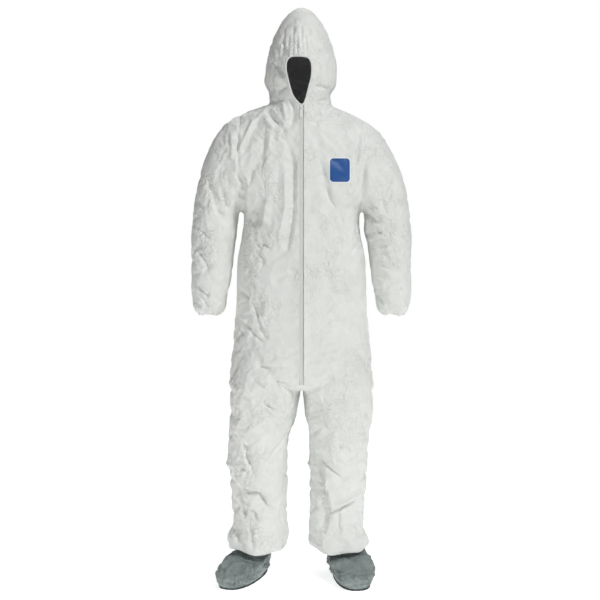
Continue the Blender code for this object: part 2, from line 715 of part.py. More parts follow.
def build_boot(side, data, materials, parent):
    """Boot upper, sole and top elastic, turned out about the ankle."""
    sign = data["sign"]
    ankle = Vector((sign * data["ankle_x"], ANKLE_Y, ANKLE_HEIGHT))
    lift = Vector((0, 0, -ANKLE_HEIGHT))
    low, high = 0.0044, BOOT_TOP

    def upper(u, v):
        return boot_section(u, low + (high - low) * v**1.35) + lift

    bm = sheet(upper, 20, 7, closed=True)
    face_out(bm, lambda z: Vector((0, -0.04, z)))
    made = [finish(bm, f"boot_upper_{side}", materials["boot_fabric"], parent)]
    bm = bmesh.new()
    bmesh.ops.create_circle(bm, segments=24, radius=1.0, cap_ends=True)
    for vert in bm.verts:
        u = math.atan2(vert.co.x, vert.co.y) / (2 * math.pi)
        vert.co = boot_section(u % 1.0, low, -0.002) * Vector((1, 1, 0)) + lift
    face = bm.faces[:]
    grown = bmesh.ops.extrude_face_region(bm, geom=face)
    raised = [part for part in grown["geom"] if isinstance(part, bmesh.types.BMVert)]
    bmesh.ops.translate(bm, verts=raised, vec=(0, 0, SOLE_THICKNESS))
    bmesh.ops.recalc_face_normals(bm, faces=bm.faces)
    made.append(finish(bm, f"boot_sole_{side}", materials["sole_rubber"], parent, thickness=0))

    def in_top(u, v):
        return boot_section(u, BOOT_TOP - 0.010 + 0.008 * v, WALL + 0.0012) + lift

    bm = sheet(in_top, 20, 1, closed=True)
    face_out(bm, lambda z: Vector((0, 0, z)))
    made.append(finish(bm, f"boot_top_elastic_{side}", materials["elastic"], parent, thickness=0.0012))
    for obj in made:
        obj.location = ankle
        obj.rotation_euler = (0, 0, sign * math.radians(data["toe_out"]))


def main():
    clear_scene()
    materials = make_materials()
    suit = bpy.data.objects.new("suit", None)
    suit.location = (0, 0, -SHOULDER_HEIGHT)
    bpy.context.scene.collection.objects.link(suit)
    build_trunk(materials, suit)
    build_gusset(materials, suit)
    build_trunk_trim(materials, suit)
    build_zip(materials, suit)
    build_slider(materials, suit)
    build_hood(materials, suit)
    for side, data in SIDES.items():
        build_sleeve(side, data, materials, suit)
        build_leg(side, data, materials, suit)
        build_boot(side, data, materials, suit)


main()
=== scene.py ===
# %% [markdown]
# # A hooded protective coverall
# The real suit is one thin sheet of flash-spun polyethylene, sewn to a loose tube for each limb,
# with a hood, a front zip, elastic edges and grey boots. It holds its own crisp creases, so this
# lesson makes one smooth skin first, crumples it as cloth, presses the big folds in, and
# only then cuts it into pieces at the joints.

# %% Load the imported model as the fixed frame
import math
import bmesh
import bpy
import numpy as np
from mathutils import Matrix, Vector, noise
from mathutils.bvhtree import BVHTree


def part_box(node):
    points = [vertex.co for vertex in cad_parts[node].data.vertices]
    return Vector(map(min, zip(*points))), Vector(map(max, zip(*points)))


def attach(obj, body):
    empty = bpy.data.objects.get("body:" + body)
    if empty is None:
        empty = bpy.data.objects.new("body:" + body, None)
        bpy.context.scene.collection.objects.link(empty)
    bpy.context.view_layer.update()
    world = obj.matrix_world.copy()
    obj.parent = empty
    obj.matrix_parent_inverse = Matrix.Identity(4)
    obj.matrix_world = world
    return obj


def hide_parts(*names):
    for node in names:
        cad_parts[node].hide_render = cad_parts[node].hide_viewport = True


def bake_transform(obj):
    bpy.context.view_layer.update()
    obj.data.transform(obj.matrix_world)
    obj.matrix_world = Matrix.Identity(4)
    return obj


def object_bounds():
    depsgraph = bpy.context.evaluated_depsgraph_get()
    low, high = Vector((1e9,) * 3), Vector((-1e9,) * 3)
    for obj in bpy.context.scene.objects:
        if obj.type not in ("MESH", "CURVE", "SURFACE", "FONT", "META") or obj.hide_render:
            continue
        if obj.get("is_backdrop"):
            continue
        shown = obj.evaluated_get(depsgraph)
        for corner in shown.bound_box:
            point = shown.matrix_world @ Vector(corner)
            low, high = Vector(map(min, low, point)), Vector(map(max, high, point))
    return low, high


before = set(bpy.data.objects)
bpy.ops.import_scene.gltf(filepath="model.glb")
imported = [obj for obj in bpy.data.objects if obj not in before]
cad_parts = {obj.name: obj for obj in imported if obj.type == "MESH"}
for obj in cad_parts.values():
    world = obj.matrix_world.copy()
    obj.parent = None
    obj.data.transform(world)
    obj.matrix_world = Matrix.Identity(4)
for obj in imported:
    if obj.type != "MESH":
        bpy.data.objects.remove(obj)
cad_low, cad_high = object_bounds()
FLOOR = cad_low.z
print("nodes:", len(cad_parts), "- floor at", round(FLOOR, 4))


def at(x, y, height):
    """A point of the frame from its height above the soles, which is easier to think in."""
    return Vector((x, y, height + FLOOR))


# %% [markdown]
# ## Sections of the body
# A loose garment is a set of tubes, and a tube is easiest to state as a few cross-sections with
# a smooth curve through them. Each row below gives a height and the size of the section there.
# These are the same sections that the solid model was made from, so the skin lies on it.

# %% Sections, in metres above the soles
ZIP_TOP = (-0.1180, 1.5120)
ZIP_BOTTOM = (-0.1500, 0.6400)
ZIP_SLOPE = (ZIP_TOP[0] - ZIP_BOTTOM[0]) / (ZIP_TOP[1] - ZIP_BOTTOM[1])
# height: half width, back depth, roundness (2 is an ellipse, more is squarer)
TRUNK = {
    0.614: (0.1700, 0.090, 2.2), 0.634: (0.2180, 0.140, 2.5), 0.665: (0.2255, 0.156, 2.6), 0.760: (0.2150, 0.158, 2.6),
    0.900: (0.2060, 0.140, 2.5), 1.020: (0.2020, 0.130, 2.5), 1.120: (0.1850, 0.132, 2.4),
    1.185: (0.1900, 0.138, 2.3), 1.230: (0.2450, 0.141, 2.2), 1.300: (0.2920, 0.142, 2.1),
    1.370: (0.2880, 0.136, 2.0), 1.412: (0.2650, 0.128, 1.95), 1.442: (0.2400, 0.117, 1.9),
    1.466: (0.2090, 0.106, 1.85), 1.486: (0.1680, 0.096, 1.85), 1.500: (0.1300, 0.089, 1.95),
    1.516: (0.1030, 0.084, 2.1),
}
# share of the way down: inner (x, height), outer (x, height), half depth
SLEEVE = {
    -0.10: (0.1500, 1.230, 0.1500, 1.470, 0.095), 0.00: (0.1965, 1.190, 0.1965, 1.472, 0.104),
    0.12: (0.1990, 1.178, 0.2560, 1.427, 0.100), 0.25: (0.2000, 1.163, 0.3010, 1.344, 0.093),
    0.38: (0.2030, 1.140, 0.3330, 1.240, 0.086), 0.50: (0.2070, 1.098, 0.3500, 1.112, 0.080),
    0.62: (0.2170, 1.040, 0.3500, 1.032, 0.076), 0.76: (0.2250, 0.970, 0.3530, 0.965, 0.073),
    0.89: (0.2400, 0.898, 0.3480, 0.893, 0.065), 0.95: (0.2435, 0.872, 0.3450, 0.870, 0.058),
    0.98: (0.2520, 0.858, 0.3370, 0.857, 0.047), 1.00: (0.2620, 0.850, 0.3270, 0.849, 0.040),
    1.08: (0.2660, 0.823, 0.3230, 0.823, 0.036),
}
# height: inner x, outer x, front y, back y
LEG = {
    0.720: (0.0300, 0.2050, -0.128, 0.135), 0.640: (0.0050, 0.2250, -0.1485, 0.152),
    0.600: (0.0062, 0.2245, -0.1420, 0.142), 0.560: (0.0085, 0.2245, -0.1360, 0.133),
    0.530: (0.0135, 0.2245, -0.1320, 0.127), 0.500: (0.0210, 0.2255, -0.1280, 0.122),
    0.470: (0.0310, 0.2245, -0.1220, 0.117), 0.440: (0.0350, 0.2240, -0.1160, 0.113),
    0.370: (0.0370, 0.2230, -0.108, 0.107), 0.300: (0.0370, 0.2200, -0.101, 0.106),
    0.220: (0.0380, 0.2140, -0.096, 0.106), 0.150: (0.0350, 0.2150, -0.096, 0.106),
    0.115: (0.0340, 0.2280, -0.099, 0.109), 0.092: (0.0400, 0.2260, -0.099, 0.108),
    0.060: (0.0440, 0.2240, -0.097, 0.106),
}
# height: half width, front y, back y, roundness
HOOD = {
    1.4900: (0.0950, -0.112, 0.078, 2.1), 1.5160: (0.1010, -0.118, 0.083, 2.1),
    1.5450: (0.0990, -0.124, 0.092, 2.2), 1.5800: (0.1090, -0.131, 0.108, 2.2),
    1.6200: (0.1110, -0.136, 0.124, 2.2), 1.6600: (0.1060, -0.136, 0.134, 2.1),
    1.7000: (0.0970, -0.128, 0.134, 2.0), 1.7400: (0.0800, -0.108, 0.124, 2.0),
    1.7750: (0.0600, -0.080, 0.100, 2.0), 1.8000: (0.0400, -0.047, 0.068, 2.0),
    1.8150: (0.0190, -0.015, 0.035, 2.0), 1.8200: (0.0040, 0.002, 0.014, 2.0),
}
HEM_HEIGHT = 0.092
CUFF_HEIGHT = 0.8485
SIDES = {"left": 1.0, "right": -1.0}
LEG_OUT = {"left": -0.0095, "right": 0.0095}
ANKLE = {"left": (0.146, 8.0), "right": (0.152, 21.0)}


def section_at(table, place):
    """The row of a table at a place between its own rows, on a smooth curve."""
    keys = sorted(table)
    place = min(max(place, keys[0]), keys[-1])
    i = max(k for k in range(len(keys) - 1) if keys[k] <= place)
    before, low, high, after = (keys[min(max(j, 0), len(keys) - 1)] for j in (i - 1, i, i + 1, i + 2))
    t = (place - low) / (high - low)
    row = []
    for column in range(len(table[low])):
        p, q = table[low][column], table[high][column]
        slope_low = slope_high = q - p
        if before != low:
            slope_low = (q - table[before][column]) / (high - before) * (high - low)
        if after != high:
            slope_high = (table[after][column] - p) / (after - low) * (high - low)
        row.append((2 * t**3 - 3 * t**2 + 1) * p + (t**3 - 2 * t**2 + t) * slope_low
                   + (3 * t**2 - 2 * t**3) * q + (t**3 - t**2) * slope_high)
    return row


def power(value, exponent):
    return math.copysign(abs(value) ** exponent, value)


def ring_point(u, half_width, front, back, roundness, middle=0.0):
    """(x, y) on a section, u from 0 at the back, by +X, the front and -X, to 1."""
    angle = 2 * math.pi * u
    along = power(math.cos(angle), 2 / roundness)
    reach = (back - middle) if along > 0 else (middle - front)
    return power(math.sin(angle), 2 / roundness) * half_width, middle + along * reach


def zip_y(height):
    return ZIP_BOTTOM[0] + (height - ZIP_BOTTOM[1]) * ZIP_SLOPE


def trunk_point(u, v):
    height = 0.614 + (1.516 - 0.614) * (1 - (1 - v) ** 1.45)
    half_width, back, roundness = section_at(TRUNK, height)
    tuck = 0.060 * max(0.0, (0.648 - height) / 0.034) ** 2
    return at(*ring_point(u, half_width, zip_y(height) + tuck, back, roundness), height)


def hood_point(u, v):
    height = 1.490 + (1.820 - 1.490) * (1 - (1 - v) ** 1.7)
    half_width, front, back, roundness = section_at(HOOD, height)
    return at(*ring_point(u, half_width, front, back, roundness, (front + back) / 2), height)


def sleeve_point(u, v, side):
    x_in, z_in, x_out, z_out, depth = section_at(SLEEVE, -0.10 + 1.18 * v)
    angle = 2 * math.pi * u
    across, along = power(math.cos(angle), 2 / 2.15), power(math.sin(angle), 2 / 2.15)
    x = (x_in + x_out) / 2 + (x_out - x_in) / 2 * across
    return at(x * SIDES[side], along * depth, (z_in + z_out) / 2 + (z_out - z_in) / 2 * across)


def leg_point(u, v, side):
    height = 0.060 + (0.720 - 0.060) * v
    inner, outer, front, back = section_at(LEG, height)
    roundness = 2.3 + 0.7 * min(max((height - 0.45) / 0.15, 0), 1)
    share = min(max((0.55 - height) / 0.15, 0), 1)
    out = LEG_OUT[side] * share * share * (3 - 2 * share)
    x, y = ring_point(u, (outer - inner) / 2, front, back, roundness, (front + back) / 2)
    return at(SIDES[side] * ((inner + outer) / 2 + out + x), y, height)


# %% [markdown]
# ## One skin from six tubes
# Each tube is a flat grid rolled onto its sections and closed at both ends. Where the tubes run
# into each other, at the armpits, the crotch and the neck, sewing would make a smooth corner. The
# Remesh modifier does that: it takes the outside of all six as one even net of small squares,
# which is also what cloth wants.

# %% Tubes and the joined skin
SKIN_STEP = 0.0068


def tube(surface, around, rows):
    """A closed tube over surface(u, v), as a bmesh."""
    bm = bmesh.new()
    bmesh.ops.create_grid(bm, x_segments=around, y_segments=rows, size=0.5)
    for vert in bm.verts:
        u, v = (min(max(share + 0.5, 0.0), 1.0) for share in vert.co[:2])
        vert.co = surface(u, v)
    bmesh.ops.remove_doubles(bm, verts=bm.verts, dist=1e-5)
    bmesh.ops.holes_fill(bm, edges=[e for e in bm.edges if e.is_boundary], sides=0)
    bmesh.ops.recalc_face_normals(bm, faces=bm.faces)
    return bm


def new_object(name, mesh, material=None):
    """Links a mesh, or a bmesh which it frees, as an object at the origin."""
    if isinstance(mesh, bmesh.types.BMesh):
        bm, mesh = mesh, bpy.data.meshes.new(name)
        bm.to_mesh(mesh)
        bm.free()
    obj = bpy.data.objects.new(name, mesh)
    bpy.context.scene.collection.objects.link(obj)
    if material:
        mesh.materials.append(material)
    return obj


def applied(obj):
    """The object's mesh with its modifiers applied, as a new bmesh. The object is removed."""
    graph = bpy.context.evaluated_depsgraph_get()
    mesh = bpy.data.meshes.new_from_object(obj.evaluated_get(graph))
    bm = bmesh.new()
    bm.from_mesh(mesh)
    bpy.data.objects.remove(obj)
    bpy.data.meshes.remove(mesh)
    return bm


whole = bmesh.new()
tubes = [tube(trunk_point, 96, 90), tube(hood_point, 64, 40)]
for side in SIDES:
    tubes.append(tube(lambda u, v: sleeve_point(u, v, side), 48, 60))
    tubes.append(tube(lambda u, v: leg_point(u, v, side), 56, 50))
for part in tubes:
    mesh = bpy.data.meshes.new("tube")
    part.to_mesh(mesh)
    whole.from_mesh(mesh)
    part.free()
    bpy.data.meshes.remove(mesh)
skin = new_object("skin", whole)
remesh = skin.modifiers.new("one skin", "REMESH")
remesh.mode = "VOXEL"
remesh.voxel_size = SKIN_STEP
skin_bm = applied(skin)
for _ in range(4):
    bmesh.ops.smooth_vert(skin_bm, verts=skin_bm.verts, factor=0.5,
                          use_axis_x=True, use_axis_y=True, use_axis_z=True)
print("skin:", len(skin_bm.verts), "points")

# %% [markdown]
# ## Openings
# The face, the zip, both wrists and both hems are open. Straight openings are planes that cut the
# net. The face opening is a curved outline: the squares inside it go, and the ragged edge that is
# left is pulled onto the outline.

# %% Cut the openings
ZIP_SLOT = 0.0066
# (x, height) round the face opening, from the point at the zip's top, by the wearer's left
FACE_EDGE = (
    (0.001, 1.507), (0.012, 1.523), (0.0235, 1.566), (0.0300, 1.591), (0.0318, 1.618),
    (0.0290, 1.638), (0.0190, 1.651), (-0.0075, 1.655), (-0.0330, 1.653), (-0.0450, 1.640),
    (-0.0476, 1.618), (-0.0445, 1.598), (-0.0365, 1.566), (-0.0275, 1.538), (-0.0135, 1.519),
)


def cut_plane(bm, wanted, point, normal, clear=False):
    """Cuts the faces that wanted(middle, height) accepts; clear drops what lies past the plane."""
    faces = []
    for face in bm.faces:
        middle = face.calc_center_median()
        if wanted(middle, middle.z - FLOOR):
            faces.append(face)
    near = list({part for face in faces for part in (*face.verts, *face.edges)})
    bmesh.ops.bisect_plane(bm, geom=near + faces, dist=1e-5, plane_co=point, plane_no=normal,
                           clear_outer=clear)


def drop(bm, wanted):
    gone = []
    for face in bm.faces:
        middle = face.calc_center_median()
        if wanted(middle, middle.z - FLOOR):
            gone.append(face)
    bmesh.ops.delete(bm, geom=gone, context="FACES")


def in_face(x, height):
    """Whether (x, height) is inside the face outline, by counting the edges to its left."""
    inside = False
    for (x1, z1), (x2, z2) in zip(FACE_EDGE, FACE_EDGE[1:] + FACE_EDGE[:1]):
        if (z1 > height) != (z2 > height) and x < (x2 - x1) * (height - z1) / (z2 - z1) + x1:
            inside = not inside
    return inside


def nearest_on(outline, x, height):
    """The nearest point of a closed outline to (x, height)."""
    best = None
    for a, b in zip(outline, outline[1:] + outline[:1]):
        a, b, p = Vector(a), Vector(b), Vector((x, height))
        share = min(max((p - a).dot(b - a) / (b - a).length_squared, 0), 1)
        point = a.lerp(b, share)
        if best is None or (point - p).length < (best - p).length:
            best = point
    return best


cut_plane(skin_bm, lambda p, h: abs(p.x) > 0.238 and 0.80 < h < 0.90, at(0, 0, CUFF_HEIGHT), (0, 0, -1), True)
cut_plane(skin_bm, lambda p, h: h < 0.20, at(0, 0, HEM_HEIGHT), (0, 0, -1), True)
for edge_x in (-ZIP_SLOT, ZIP_SLOT):
    cut_plane(skin_bm, lambda p, h: abs(p.x) < 0.03 and p.y < -0.07 and h < 1.56, (edge_x, 0, 0), (1, 0, 0))
cut_plane(skin_bm, lambda p, h: abs(p.x) < 0.01 and p.y < -0.07 and h < 0.70, at(0, 0, 0.640), (0, 0, 1))
drop(skin_bm, lambda p, h: abs(p.x) < ZIP_SLOT and p.y < -0.09 and 0.640 < h < 1.520)
drop(skin_bm, lambda p, h: p.y < -0.05 and in_face(p.x, h))
for vert in skin_bm.verts:
    if vert.is_boundary and vert.co.y < 0 and vert.co.z - FLOOR > 1.512:
        snapped = nearest_on(FACE_EDGE, vert.co.x, vert.co.z - FLOOR)
        vert.co.x, vert.co.z = snapped[0], snapped[1] + FLOOR
soft = [v for v in skin_bm.verts if abs(v.co.x) < 0.09 and v.co.y < 0 and 1.49 < v.co.z - FLOOR < 1.70]
soft = [v for v in soft if not v.is_boundary]
bmesh.ops.smooth_vert(skin_bm, verts=soft, factor=0.5, use_axis_x=True, use_axis_y=True, use_axis_z=True)
print("skin after the openings:", len(skin_bm.verts), "points,",
      sum(e.is_boundary for e in skin_bm.edges), "open edges")

# %% [markdown]
# ## Crumpling the sheet
# Flash-spun sheet hardly drapes: it buckles. In Blender's Cloth the sheet is told that it is a
# little larger than its net (a negative shrink), while weak goal springs hold each point near its
# place. The spare cloth has nowhere to go but in and out, which makes buckles of a natural size.
# The open edges are held fully, because elastic and stitching hold them on the real suit.

# %% Cloth
GROWTH = 0.028
BUCKLE_FRAMES = 9
HOLD = 0.12
BUCKLE_CAP = 0.0045


def coordinates(mesh):
    found = np.empty(len(mesh.vertices) * 3, np.float64)
    mesh.vertices.foreach_get("co", found)
    return found.reshape(-1, 3)


def buckle_cap(point):
    """How far a point may move: less in the hood, and where two layers hang close together."""
    height = point.z - FLOOR
    if height > 1.50:
        return 0.0030
    if 0.84 < height < 1.19 and 0.178 < abs(point.x) < 0.245:
        return 0.0025
    if height < 0.64 and abs(point.x) < 0.05:
        return 0.0030
    return BUCKLE_CAP


def crumple(bm, growth, frames, hold, bend=0.6):
    """Buckles the sheet as cloth, and moves no point further than its cap. Returns a new bmesh."""
    cap = np.array([[buckle_cap(vert.co)] for vert in bm.verts])
    edge = [vert.index for vert in bm.verts if vert.is_boundary]
    obj = new_object("crumpled", bm)
    rest = coordinates(obj.data)
    group = obj.vertex_groups.new(name="held")
    group.add(list(range(len(rest))), hold, "REPLACE")
    if edge:
        group.add(edge, 1.0, "REPLACE")
    cloth = obj.modifiers.new("cloth", "CLOTH")
    setting = cloth.settings
    setting.quality = 4
    setting.tension_stiffness = setting.compression_stiffness = 15
    setting.shear_stiffness = 5
    setting.bending_stiffness = bend
    setting.air_damping = 2
    setting.shrink_min = -growth
    setting.vertex_group_mass = "held"
    setting.effector_weights.gravity = 0
    cloth.collision_settings.use_collision = False
    cloth.point_cache.frame_end = frames + 1
    for number in range(1, frames + 1):
        bpy.context.scene.frame_set(number)
    moved = obj.evaluated_get(bpy.context.evaluated_depsgraph_get())
    move = coordinates(moved.data) - rest
    length = np.linalg.norm(move, axis=1, keepdims=True)
    move *= np.minimum(1, cap / np.maximum(length, 1e-9))
    obj.modifiers.remove(cloth)
    obj.data.vertices.foreach_set("co", (rest + move).astype(np.float32).ravel())
    bpy.context.scene.frame_set(1)
    print("crumpled by", round(1000 * float(np.median(length)), 1), "mm in the middle case")
    return applied(obj)


def finer(bm):
    """The same surface with each square made four, on a smooth surface."""
    obj = new_object("finer", bm)
    subdivision = obj.modifiers.new("finer", "SUBSURF")
    subdivision.levels = subdivision.render_levels = 1
    return applied(obj)


skin_bm.verts.index_update()
skin_bm = crumple(skin_bm, GROWTH, BUCKLE_FRAMES, HOLD)
skin_bm = finer(skin_bm)
print("fine skin:", len(skin_bm.verts), "points")

# %% [markdown]
# ## Pressing in the folds
# The folds that give a garment its character come from where it hangs and where it was packed.
# Each is pressed in as a stroke: a line on the front or the back, with a width, a height, and a
# lean that makes one flank steeper. A tent-shaped profile keeps the crest crisp, as this sheet
# does. A stroke with a negative height is a valley.

# %% Fold strokes
skin_bm.normal_update()
points = np.array([vert.co for vert in skin_bm.verts])
normals = np.array([vert.normal for vert in skin_bm.verts])
heights = points[:, 2] - FLOOR
shift = np.zeros(len(points))


CREASE_WIDTH, CREASE_SHARE = 0.0055, 0.22
VIEWS = {"front": (0, 1, -1), "back": (0, 1, 1), "left": (1, 0, 1), "right": (1, 0, -1)}


def fold(line, width, height, lean=0.0, view="front", ends=(0.0, 0.0), beyond=None):
    """Presses a fold along line, a list of (sideways, height) points seen from the view's side.
    Sideways is x from the front or back, and y from a side. A positive lean makes the flank on the
    line's left gentler. ends are the strengths left at its two ends. beyond keeps it to |x| over that."""
    facing_y, _, sign = VIEWS[view]
    sideways, towards = (1, 0) if facing_y else (0, 1)
    line = np.array(line, float)
    reach = width * (1 + abs(lean))
    low, high = line.min(0) - reach, line.max(0) + reach
    across = points[:, sideways]
    wanted = ((across > low[0]) & (across < high[0]) & (heights > low[1]) & (heights < high[1])
              & (normals[:, towards] * sign > -0.15))
    if beyond is not None:
        wanted &= points[:, 0] * (sign if facing_y else 1) > beyond
    near = np.flatnonzero(wanted)
    if not len(near):
        return
    here = np.stack([across[near], heights[near]], 1)
    lengths = np.linalg.norm(np.diff(line, axis=0), axis=1)
    best = np.full(len(near), 9.0)
    side_of, share = np.zeros(len(near)), np.zeros(len(near))
    done = 0.0
    for start, end, length in zip(line[:-1], line[1:], lengths):
        way = (end - start) / length
        offset = here - start
        along = np.clip(offset @ way, 0, length)
        apart = offset - along[:, None] * way
        gap = np.linalg.norm(apart, axis=1)
        nearer = gap < best
        best[nearer] = gap[nearer]
        side_of[nearer] = np.sign(way[0] * apart[nearer, 1] - way[1] * apart[nearer, 0])
        share[nearer] = (done + along[nearer]) / lengths.sum()
        done += length
    profile = np.clip(1 - best / (width * (1 + lean * side_of)), 0, 1) ** 1.35
    profile += CREASE_SHARE * np.clip(1 - best / CREASE_WIDTH, 0, 1)
    rise = np.clip(share / 0.3, 0, 1), np.clip((1 - share) / 0.3, 0, 1)
    taper = [e + (1 - e) * r * r * (3 - 2 * r) for e, r in zip(ends, rise)]
    facing = np.clip((normals[near, towards] * sign + 0.15) / 0.4, 0, 1)
    shift[near] += height * profile * taper[0] * taper[1] * facing


